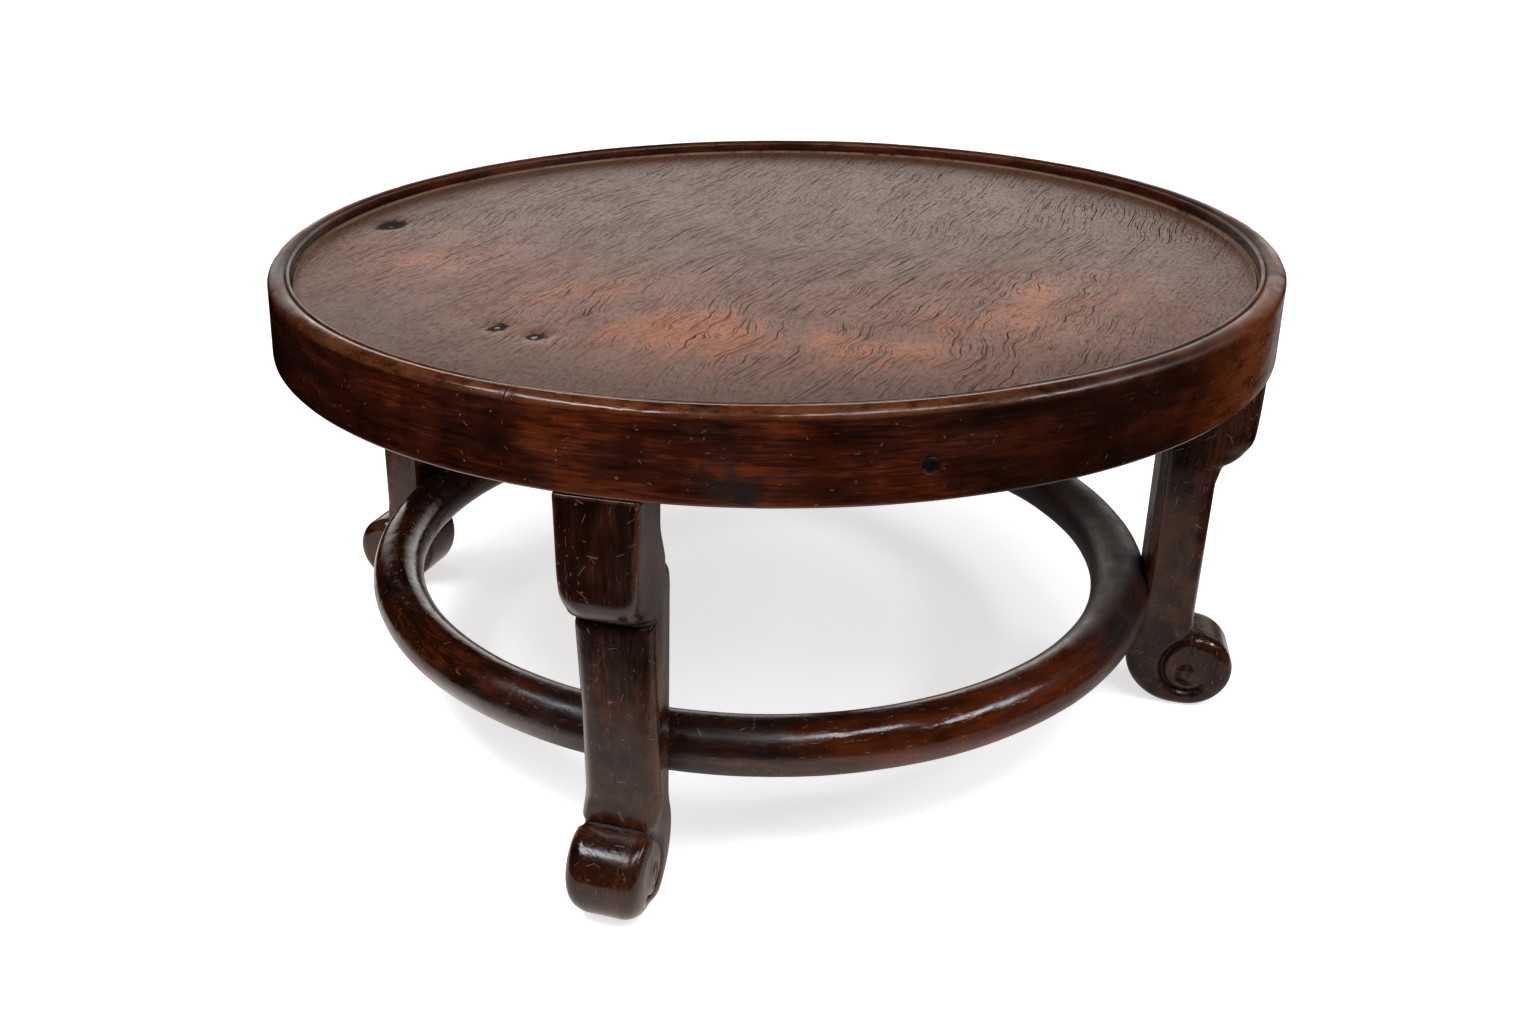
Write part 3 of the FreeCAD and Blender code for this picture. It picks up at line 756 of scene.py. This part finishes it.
def swept_piece(name, corners, step, material, sizes):
    """Piece swept round the axis by the node tree, as a plain closed mesh."""
    points = closed_section(corners, step)
    line = bpy.data.meshes.new(name + "_section")
    line.from_pydata([(r, 0.0, z) for r, z in points], [], [])
    section = new_piece(name + "_section", line)
    piece = new_piece(name, bpy.data.meshes.new(name))
    sweeper = piece.modifiers.new("swept_round", "NODES")
    sweeper.node_group = swept_round
    inputs = {"Section": section, "Section Points": len(points), "Material": material, **sizes}
    for item in swept_round.interface.items_tree:
        if item.name in inputs:
            sweeper[item.identifier] = inputs[item.name]
    mesh = settled(piece)
    bpy.data.objects.remove(section)
    mark_edges(mesh)
    closed_mesh(mesh)
    smooth_faces(mesh, 40)
    return piece


def read(items, name, width, kind):
    """One value of each point or edge of a mesh, as rows of numbers."""
    values = np.empty(len(items) * width, dtype=kind)
    items.foreach_get(name, values)
    return values.reshape(-1, width)


def points_of(mesh):
    return read(mesh.vertices, "co", 3, float)


def move_points(mesh, places):
    mesh.vertices.foreach_set("co", places.ravel())
    mesh.update()


def normals_of(mesh):
    return read(mesh.vertex_normals, "vector", 3, np.float32).astype(float)


def ease(values, low, high):
    """0 below low and 1 above high, with a soft step between."""
    share = np.clip((values - low) / (high - low), 0.0, 1.0)
    return share * share * (3 - 2 * share)


def fall(values, low, high):
    return 1 - ease(values, low, high)


def hump(values, middle, reach):
    """1 at the middle, falling away softly on both sides."""
    return np.exp(-(((values - middle) / reach) ** 2))


def neighbour_mean(values, ends, count):
    """Mean of each point's neighbours."""
    total = np.bincount(ends.ravel(), values[ends[:, ::-1].ravel()], count)
    number = np.bincount(ends.ravel(), minlength=count)
    return total / np.maximum(number, 1)


def mark_edges(mesh):
    """Stores how sharply each point of a mesh stands out, for rubbed edges, or lies in, for dirt and
    painted shade in creases.
    """
    places, normals = points_of(mesh), normals_of(mesh)
    ends = read(mesh.edges, "vertices", 2, np.int32)
    count = len(places)
    run = places[ends[:, 1]] - places[ends[:, 0]]
    turn = normals[ends[:, 1]] - normals[ends[:, 0]]
    bend = (run * turn).sum(1) / np.maximum((run * run).sum(1), 1e-12)
    out = np.zeros(count)
    inward = np.zeros(count)
    for side in (0, 1):
        np.maximum.at(out, ends[:, side], bend)
        np.minimum.at(inward, ends[:, side], bend)
    for name, values in (("edge", ease(out, 150.0, 420.0)), ("hollow", ease(-inward, 90.0, 400.0))):
        for _ in range(2):
            values = 0.5 * values + 0.5 * neighbour_mean(values, ends, count)
        mesh.attributes.new(name, "FLOAT", "POINT").data.foreach_set("value", values.astype(np.float32))


def smooth_faces(mesh, angle):
    mesh.shade_smooth()
    mesh.set_sharp_from_angle(angle=math.radians(angle))


def press(mesh, centre, radius, depth):
    """Presses a soft dent into a mesh, along its own normals."""
    places = points_of(mesh)
    away = np.linalg.norm(places - np.array(centre), axis=1)
    move_points(mesh, places - normals_of(mesh) * (depth * hump(away, 0.0, radius))[:, None])


def polar(radius, angle, height):
    turn = math.radians(angle)
    return (radius * math.cos(turn), radius * math.sin(turn), height)


def stands_for(piece, node):
    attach(piece, "root")
    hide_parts(node)


def leg_arcs():
    """Number of the segment that starts at each leg, its azimuth and its arc to the next leg."""
    angles = list(LEG_ANGLES.values())
    for number, (angle, following) in enumerate(zip(angles, angles[1:] + angles[:1]), 1):
        yield number, angle, (following - angle) % 360


def frame_section():
    """Section of the frame: band, crowned rim, bead at the lip, groove and seat for the panel."""
    foot = (TOP_RADIUS - BAND_ROUND, UNDERSIDE + BAND_ROUND)
    bead = (LIP_INNER + BEAD_WIDTH / 2, BEAD_FOOT)
    crown = [
        (RIM_RADIUS - RIM_SPREAD * (1 - out), HEIGHT - RIM_ROUND * (1 - rise))
        for out, rise in curve_points((0.0, 0.0), 1.0, 0, 90, 10)
    ]
    return (
        [(FRAME_INNER, UNDERSIDE)]
        + curve_points(foot, BAND_ROUND, -90, 0, 5)
        + crown
        + [(RIM_RADIUS - RIM_SPREAD - RIM_SHOULDER, HEIGHT - RIM_SHOULDER_FALL)]
        + [(LIP_INNER + BEAD_WIDTH + LIP_BEVEL, HEIGHT - LIP_FALL), (LIP_INNER + BEAD_WIDTH, BEAD_FOOT)]
        + curve_points(bead, BEAD_WIDTH / 2, 0, 180, 8)
        + [(LIP_INNER, PANEL_GROOVE_TOP), (PANEL_GROOVE_RADIUS, PANEL_GROOVE_TOP)]
        + [(PANEL_GROOVE_RADIUS, PANEL_SEAT), (FRAME_INNER, PANEL_SEAT)]
    )


def make_frame():
    """The four segments of the frame, with an open joint at the start of each and nicks in the rim."""
    for number, angle, arc in leg_arcs():
        node = "frame_segment_%d" % number
        joint = angle - FRAME_JOINT_ANGLE
        sizes = {"Rows": 280, "Lap Rows": 1, "Waver": FRAME_WAVER}
        sizes.update({"Start": math.radians(joint), "Sweep": math.radians(arc)})
        piece = swept_piece(node + "_worn", frame_section(), SECTION_STEP, finishes["frame_wood"], sizes)
        press(piece.data, polar(RIM_RADIUS, joint, HEIGHT), *JOINT_DENT)
        for _ in range(NICKS_PER_SEGMENT):
            spot = polar(RIM_RADIUS, joint + dice.uniform(2, arc - 2), HEIGHT)
            press(piece.data, spot, dice.uniform(*NICK_REACH), dice.uniform(*NICK_DEPTH))
        for peg_angle in PEG_ANGLES:
            press(piece.data, polar(BAND_AT_PEG, peg_angle, PEG_LEVEL), *PEG_DENT)
        stands_for(piece, node)


def make_plugs():
    """The two round plugs of the band, each with a worn, domed end."""
    end = BAND_AT_PEG + PEG_STAND
    dome = [
        (end - PEG_DEPTH, PEG_RADIUS),
        (end - 0.0005, PEG_RADIUS),
        (end - 0.0002, 0.85 * PEG_RADIUS),
        (end, 0.4 * PEG_RADIUS),
    ]
    shape = bmesh.new()
    for angle in PEG_ANGLES:
        turn = Matrix.Rotation(math.radians(angle), 3, "Z")
        rings = []
        for out, radius in dome:
            spots = [(out, y, PEG_LEVEL + z) for y, z in curve_points((0.0, 0.0), radius, 0, 360, 24)[:-1]]
            rings.append([shape.verts.new(turn @ Vector(spot)) for spot in spots])
        for ring, following in zip(rings, rings[1:]):
            for index in range(len(ring)):
                after = (index + 1) % len(ring)
                shape.faces.new((ring[index], ring[after], following[after], following[index]))
        shape.faces.new(rings[-1])
        shape.faces.new(rings[0][::-1])
    bmesh.ops.recalc_face_normals(shape, faces=shape.faces)
    mesh = mesh_of(shape, "batten_pegs_worn")
    mesh.materials.append(finishes["plug_wood"])
    smooth_faces(mesh, 50)
    stands_for(new_piece("batten_pegs_worn", mesh), "batten_pegs")


def make_ring():
    """The four arcs of the ring, half-lapped over the legs."""
    circle = curve_points((RING_RADIUS, RING_LEVEL), RING_TUBE, 0, 360, 56)[:-1]
    for number, angle, arc in leg_arcs():
        node = "ring_segment_%d" % number
        sizes = {"Rows": 150, "Lap Rows": 60, "Lap Level": RING_LEVEL, "Waver": RING_WAVER}
        sizes.update({"Start": math.radians(angle - SCARF_ANGLE), "Sweep": math.radians(arc)})
        sizes["Lap"] = math.radians(2 * SCARF_ANGLE)
        piece = swept_piece(node + "_worn", circle, SECTION_STEP, finishes["ring_wood"], sizes)
        stands_for(piece, node)


def make_panel():
    """The panel with its tongue, and dents at its knots."""
    edge = (PANEL_EDGE - PANEL_EDGE_ROUND, PANEL_TOP - PANEL_EDGE_ROUND)
    section = [(0.0, PANEL_TOP)] + curve_points(edge, PANEL_EDGE_ROUND, 90, 0, 4)
    section += [(PANEL_EDGE, PANEL_TONGUE_TOP), (PANEL_TONGUE_RADIUS, PANEL_TONGUE_TOP)]
    section += [(PANEL_TONGUE_RADIUS, PANEL_SEAT), (0.0, PANEL_SEAT)]
    sizes = {"Rows": 420, "Lap Rows": 1, "Sweep": 2 * math.pi, "Waver": PANEL_WAVER}
    piece = swept_piece("top_panel_worn", section, SECTION_STEP, finishes["panel_burl"], sizes)
    for x, y, radius, depth in KNOTS:
        press(piece.data, (x, y, PANEL_TOP), radius, depth)
    stands_for(piece, "top_panel")


# Legs, worked in their own axes: along the leg's azimuth, across it and up
def filled_leg(name, angle):
    """Copy of a leg's solid with its volutes filled, as one even skin."""
    shape = bmesh.new()
    shape.from_mesh(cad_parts["leg_" + name].data)
    bmesh.ops.remove_doubles(shape, verts=shape.verts, dist=1e-6)
    turn = Matrix.Rotation(math.radians(angle), 4, "Z")
    place = Matrix.Translation((EYE[0], 0, EYE[1])) @ Matrix.Rotation(math.radians(90), 4, "X")
    add_cylinder(shape, VOLUTE_FILL, LEG_WIDTH, True, turn @ place)
    worn = "leg_%s_worn" % name
    piece = new_piece(worn, mesh_of(shape, worn))
    skin = piece.modifiers.new("even_skin", "REMESH")
    skin.mode = "VOXEL"
    skin.voxel_size = LEG_SKIN
    eased = piece.modifiers.new("eased", "SMOOTH")
    eased.factor = 0.5
    eased.iterations = 5
    settled(piece)
    return piece


def lean_at(up):
    """How much farther out a leg stands at a height than at the underside."""
    return (UNDERSIDE - up) * LEAN_SLOPE


def front_at(up):
    """How far out a leg's front stands at a height: block, its rounded foot, cove and shaft."""
    rounded = BLOCK_FACE - BLOCK_ROUND + np.sqrt(np.maximum(BLOCK_ROUND**2 - (BLOCK_FOOT - up) ** 2, 0.0))
    coved = SHAFT_FACE + BLOCK_COVE - np.sqrt(np.maximum(BLOCK_COVE**2 - (up - COVE_FOOT) ** 2, 0.0))
    front = np.where(up > COVE_TOP, rounded, np.where(up > COVE_FOOT, coved, SHAFT_FACE))
    return np.where(up > BLOCK_FOOT, BLOCK_FACE, front) + lean_at(up)


def pulled_in(first, second, half_first, half_second, power, share):
    """Rounds a section's corners by drawing its points inside a squared-off ellipse."""
    reach = (np.abs(first) / half_first) ** power + (np.abs(second) / half_second) ** power
    pull = 1 + (np.maximum(reach, 1.0) ** (-1 / power) - 1) * share
    return first * pull, second * pull


def squared(first, second, half_first, half_second, share):
    """Pushes the rounded corner of a section out to a crisper one."""
    over_first = np.maximum(first - (half_first - EDGE_ROUND), 0.0)
    over_second = np.maximum(np.abs(second) - (half_second - EDGE_ROUND), 0.0)
    reach = np.hypot(over_first, over_second) + 1e-9
    push = ((over_first / reach) ** 5 + (over_second / reach) ** 5 + 1e-9) ** -0.2
    push = np.where((over_first > 0) & (over_second > 0), (push - 1) * share, 0.0)
    return first + over_first * push, second + np.sign(second) * over_second * push


def rounded_shaft(along, across, up, crease_depth):
    """Rounds the front corners of the block and the shaft, and sharpens the crease between them."""
    middle = LEG_MIDDLE + lean_at(up)
    forward = ease(along - middle, 0.0, 0.003)
    share = ease(up, 0.036, 0.046) * fall(up, 0.158, 0.164) * forward
    power = 4.4 + 12 * ease(up, 0.122, 0.14)
    half = front_at(up) - middle + 0.0001
    out, across = squared(along - middle, across, half, LEG_WIDTH / 2, ease(up, 0.12, 0.135) * forward)
    out, across = pulled_in(out, across, half, LEG_WIDTH / 2 + 0.0001, power, share)
    crease = hump(up, CREASE_LEVEL, CREASE_WIDTH) * ease(out, 0.002, 0.008)
    return middle + out - crease_depth * crease, across


def rounded_roll(along, across, up, worn):
    """Swells the rolled foot a little and rounds its edges off; the more it is worn, the more below."""
    out, rise = along - SCROLL[0], up - SCROLL[1]
    away = np.hypot(out, rise)
    angle = np.degrees(np.arctan2(rise, out))
    share = ease(angle, -125.0, -85.0) * fall(angle, 88.0, 112.0) * fall(away, 0.0177, 0.0195)
    across = across * (1 + 0.04 * share)
    power = 5.8 - 1.2 * worn * (1 - np.sin(np.radians(angle)))
    drawn, across = pulled_in(away, across, ROLL_RADIUS, ROLL_HALF_WIDTH, power, share)
    pull = drawn / np.maximum(away, 1e-9)
    return SCROLL[0] + out * pull, across, SCROLL[1] + rise * pull


def carved_volute(along, across, up):
    """Cuts the volute into both sides: a groove that runs in from the crotch round a hollowed eye."""
    out, rise = along - EYE[0], up - EYE[1]
    away = np.hypot(out, rise)
    angle = np.degrees(np.arctan2(rise, out)) % 360
    share = (angle - VOLUTE_START) / (VOLUTE_END - VOLUTE_START)
    middle = VOLUTE_INNER + VOLUTE_SPREAD * (1 - np.clip(share, 0, 1)) ** 4
    width = np.where(away < middle, 0.0009, 0.002)
    taper = ease(share, -0.04, 0.04) * fall(share, 0.9, 1.02)
    groove = VOLUTE_DEPTH * hump(away, middle, width) * taper
    spiral = 0.0024 + 0.003 * (angle / 360)
    turn_of_eye = ease(angle, 20.0, 90.0) * fall(angle, 250.0, 330.0)
    eye = EYE_RISE * hump(away, 0.0, 0.007) - EYE_CUT * hump(away, spiral, 0.001) * turn_of_eye
    side = ease(np.abs(across), 0.0105, 0.0125)
    return across - np.sign(across) * (groove - eye) * side


def eased_step(along, up):
    """Spreads the step in a leg's back over more of its height."""
    fallen = np.clip(STEP_TOP - up, 0.0, STEP_HEIGHT)
    near = np.minimum(fallen, STEP_HEIGHT - fallen)
    bow = STEP_ARC - np.sqrt(STEP_ARC**2 - near**2)
    depth = np.where(fallen < STEP_HEIGHT / 2, bow, STEP_DEPTH - bow)
    wanted = STEP_DEPTH * fall(up, *EASED_STEP)
    share = np.maximum(SHAFT_FACE + lean_at(up) - along, 0.0) / (SHAFT_FACE - BLOCK_BACK + depth)
    return along - share * (wanted - depth)


def crooked(along, across, up):
    """The front leg's slight twist, and the spread of its block at the top and of its shaft at the foot."""
    middle = LEG_MIDDLE + lean_at(up)
    forward = ease((along - middle) / (front_at(up) - middle), -0.05, 0.9)
    at_foot = fall(up, 0.045, 0.09) * ease(up, 0.034, 0.045) * (across > 0)
    spread = 0.06 * ease(up, 0.13, 0.165) + 0.1 * at_foot
    return across + (across * spread + np.interp(up, TWIST_LEVELS, TWIST)) * forward


def lowered_block(along, up):
    """The lower foot and wider cove of the block on the other legs."""
    drop = ease(up, 0.098, 0.112) * fall(up, 0.124, 0.148)
    up = up - LOWERED_FOOT * drop * ease(along, 0.179, 0.185)
    cove = hump(up, WIDER_COVE_LEVEL, WIDER_COVE_REACH) * ease(along, 0.182, 0.187)
    return along + WIDER_COVE * cove, up


def make_leg(name, angle):
    """A leg: its solid in a finer skin, rounded, carved and, in front, a little crooked."""
    piece = filled_leg(name, angle)
    mesh = piece.data
    turn = math.radians(angle)
    axes = np.array([[math.cos(turn), math.sin(turn), 0], [-math.sin(turn), math.cos(turn), 0], [0, 0, 1]])
    along, across, up = (points_of(mesh) @ axes.T).T
    in_front = name == "front"
    along, across = rounded_shaft(along, across, up, CREASE_DEPTH if in_front else 0.0)
    along, across, up = rounded_roll(along, across, up, 1.0 if in_front else 0.0)
    across = carved_volute(along, across, up)
    along = eased_step(along, up)
    if in_front:
        across = crooked(along, across, up)
    else:
        along, up = lowered_block(along, up)
    move_points(mesh, np.stack([along, across, up], axis=1) @ axes)
    shift = GRAIN_SHIFT * angle
    grain = np.stack([up + shift, across, along + shift], axis=1).astype(np.float32)
    mesh.attributes.new("grain", "FLOAT_VECTOR", "POINT").data.foreach_set("vector", grain.ravel())
    mesh.materials.clear()
    mesh.materials.append(finishes["leg_wood"])
    mark_edges(mesh)
    mesh.shade_smooth()
    stands_for(piece, "leg_" + name)


dice = random.Random(7)
swept_round = swept_round_tree()
make_frame()
make_plugs()
make_ring()
make_panel()
for leg_name, leg_angle in LEG_ANGLES.items():
    make_leg(leg_name, leg_angle)

# Studio
FLOOR_REACH = 15.0
CLOTH_LEVEL = 0.0004
WALL_RADIUS = 14.0
WALL_HEIGHT = 24.0
WHITE = (1.0, 1.0, 1.0, 1.0)
PAPER = (0.8, 0.8, 0.8, 1.0)
PAPER_GLOW = 0.67
LAMP_COLOUR = (0.93, 0.96, 1.0)
PALE_SPOT = (-0.12, -0.17, 0.0)


def plane(name, level):
    mesh = bpy.data.meshes.new(name)
    sides = ((-1, -1), (1, -1), (1, 1), (-1, 1))
    mesh.from_pydata([(x * FLOOR_REACH, y * FLOOR_REACH, level) for x, y in sides], [], [(0, 1, 2, 3)])
    return new_piece(name, mesh)


def unseen_by(piece, *rays):
    for ray in rays:
        setattr(piece, "visible_" + ray, False)


def glow(graph, colour, strength=1.0):
    return graph.node("ShaderNodeEmission", {"Color": colour, "Strength": strength})


def lit_paper():
    """White paper, lit from below as well as above so that shadows stay pale."""
    material, graph = new_material("lit_paper")
    paper = graph.node("ShaderNodeBsdfDiffuse", {"Color": PAPER})
    graph.end(graph.node("ShaderNodeAddShader", {0: paper, 1: glow(graph, WHITE, PAPER_GLOW)}))
    return material


def dark_cloth():
    """What polished wood mirrors of the floor: pale paper near the stand, and dark cloth round it."""
    material, graph = new_material("dark_cloth")
    place = object_place(graph)
    x, y, _ = place.axes()
    away = place.length()
    right = x.ease(0.2, 0.28)
    light = away.fall(0.29, 0.36) * (0.28 + away.ease(0.14, 0.21) * 0.6)
    light = light.at_least(y.ease(0.2, 0.4) * right * x.fall(0.4, 0.5) * 0.3)
    light *= (1 - y.ease(0.05, 0.15) * (1 - right) * 0.8)
    light *= (1 - x.ease(0.13, 0.2) * y.fall(0.0, 0.1) * 0.5)
    beside = place.vector("SUBTRACT", PALE_SPOT).length()
    light += beside.fall(0.03, 0.09) * 0.9
    graph.end(glow(graph, graph.join(light, light * 0.9, light * 0.85)))
    return material


def far_wall():
    """Pale wall far round the stand, seen by the camera alone."""
    shape = bmesh.new()
    add_cylinder(shape, WALL_RADIUS, WALL_HEIGHT, False, Matrix())
    mesh = mesh_of(shape, "far_wall")
    material, graph = new_material("pale_wall")
    graph.end(glow(graph, WHITE))
    mesh.materials.append(material)
    wall = new_piece("far_wall", mesh)
    unseen_by(wall, "diffuse", "glossy", "shadow", "transmission")
    return wall


floor = plane("floor", 0.0)
floor.data.materials.append(lit_paper())
cloth = plane("dark_cloth", CLOTH_LEVEL)
cloth.data.materials.append(dark_cloth())
unseen_by(cloth, "camera", "diffuse", "shadow", "transmission")
far_wall()


def soft_box(name, place, aim, width, height, power):
    light = bpy.data.lights.new(name, "AREA")
    light.shape = "RECTANGLE"
    light.size = width
    light.size_y = height
    light.energy = power
    light.color = LAMP_COLOUR
    lamp = new_piece(name, light)
    turn = (Vector(place) - Vector(aim)).to_track_quat("Z", "Y")
    lamp.matrix_world = Matrix.Translation(place) @ turn.to_matrix().to_4x4()


def sun(name, azimuth, elevation, spread, strength):
    """Wide soft light from one side of the sky, with no glint of its own."""
    light = bpy.data.lights.new(name, "SUN")
    light.angle = math.radians(spread)
    light.energy = strength
    lamp = new_piece(name, light)
    rise = math.radians(elevation)
    way = Vector(polar(math.cos(rise), azimuth, math.sin(rise)))
    lamp.rotation_euler = way.to_track_quat("Z", "Y").to_euler()
    unseen_by(lamp, "glossy")


soft_box("soft_box_left", (-0.45, -0.55, 1.1), (0.0, -0.1, 0.1), 0.8, 0.2, 6.0)
soft_box("soft_box_right", (0.5, -0.5, 1.1), (0.0, -0.1, 0.1), 0.6, 0.2, 4.0)
soft_box("soft_box_side", (0.95, -0.1, 0.75), (0.1, -0.1, 0.1), 0.5, 0.14, 3.0)
sun("sky_left", 215.0, 65.0, 70.0, 1.2)
sun("sky_right", 320.0, 70.0, 70.0, 0.9)


def studio_walls():
    """Light from all round: pale and low behind the stand, dark above and in front."""
    world = bpy.data.worlds.new("studio")
    world.use_nodes = True
    world.node_tree.nodes.clear()
    graph = Graph(world.node_tree)
    x, y, z = graph.node("ShaderNodeTexCoord", {}, "Generated").axes()
    before = (x * FRONT[0] + y * FRONT[1]) / (x * x + y * y).root()
    light = 0.005 + (0 - before).ease(0.74, 0.93) * (2.1 - z.ease(0.12, 0.44) * 1.9)
    light *= z.fall(0.345, 0.385)
    tint = graph.join(light, light * 0.93, light * 0.88)
    backdrop = graph.node("ShaderNodeBackground", {"Color": tint, "Strength": 1.0})
    graph.node("ShaderNodeOutputWorld", {"Surface": backdrop})
    bpy.context.scene.world = world


studio_walls()
bpy.context.scene.view_settings.view_transform = "Standard"

# Camera of the photograph, found from the ellipses of the rim, the band and the ring. Its place is in
# shares of the radius that was fitted to the rim, seen from the rim's centre
PHOTO_WIDTH = 1536
FOCAL_PIXELS = 1383.77
SHIFT_PIXELS = (173.48, 88.48)
SENSOR_WIDTH = 36.0
FITTED_RADIUS = 1.0094
CAMERA_PLACE = (-0.3644, -2.8689, 0.7369)
CAMERA_AZIMUTH = 20.54
CAMERA_TILT = 0.5064
CAMERA_ROLL = -0.0353


def photo_camera():
    swing = Matrix.Rotation(math.radians(CAMERA_AZIMUTH), 3, "Z")
    place = swing @ Vector(CAMERA_PLACE) * (TOP_RADIUS / FITTED_RADIUS) + Vector((0, 0, HEIGHT))
    right = Vector((1, 0, 0))
    up = Vector((0, math.sin(CAMERA_TILT), math.cos(CAMERA_TILT)))
    back = Vector((0, -math.cos(CAMERA_TILT), math.sin(CAMERA_TILT)))
    across = right * math.cos(CAMERA_ROLL) + up * math.sin(CAMERA_ROLL)
    rise = up * math.cos(CAMERA_ROLL) - right * math.sin(CAMERA_ROLL)
    axes = Matrix([swing @ across, swing @ rise, swing @ back]).transposed()
    camera = bpy.data.cameras.new("photo_camera")
    camera.sensor_width = SENSOR_WIDTH
    camera.lens = FOCAL_PIXELS / PHOTO_WIDTH * SENSOR_WIDTH
    camera.shift_x, camera.shift_y = (pixels / PHOTO_WIDTH for pixels in SHIFT_PIXELS)
    camera.clip_start = 0.01
    holder = new_piece("photo_camera", camera)
    holder.matrix_world = Matrix.Translation(place) @ axes.to_4x4()
    bpy.context.scene.camera = holder


photo_camera()
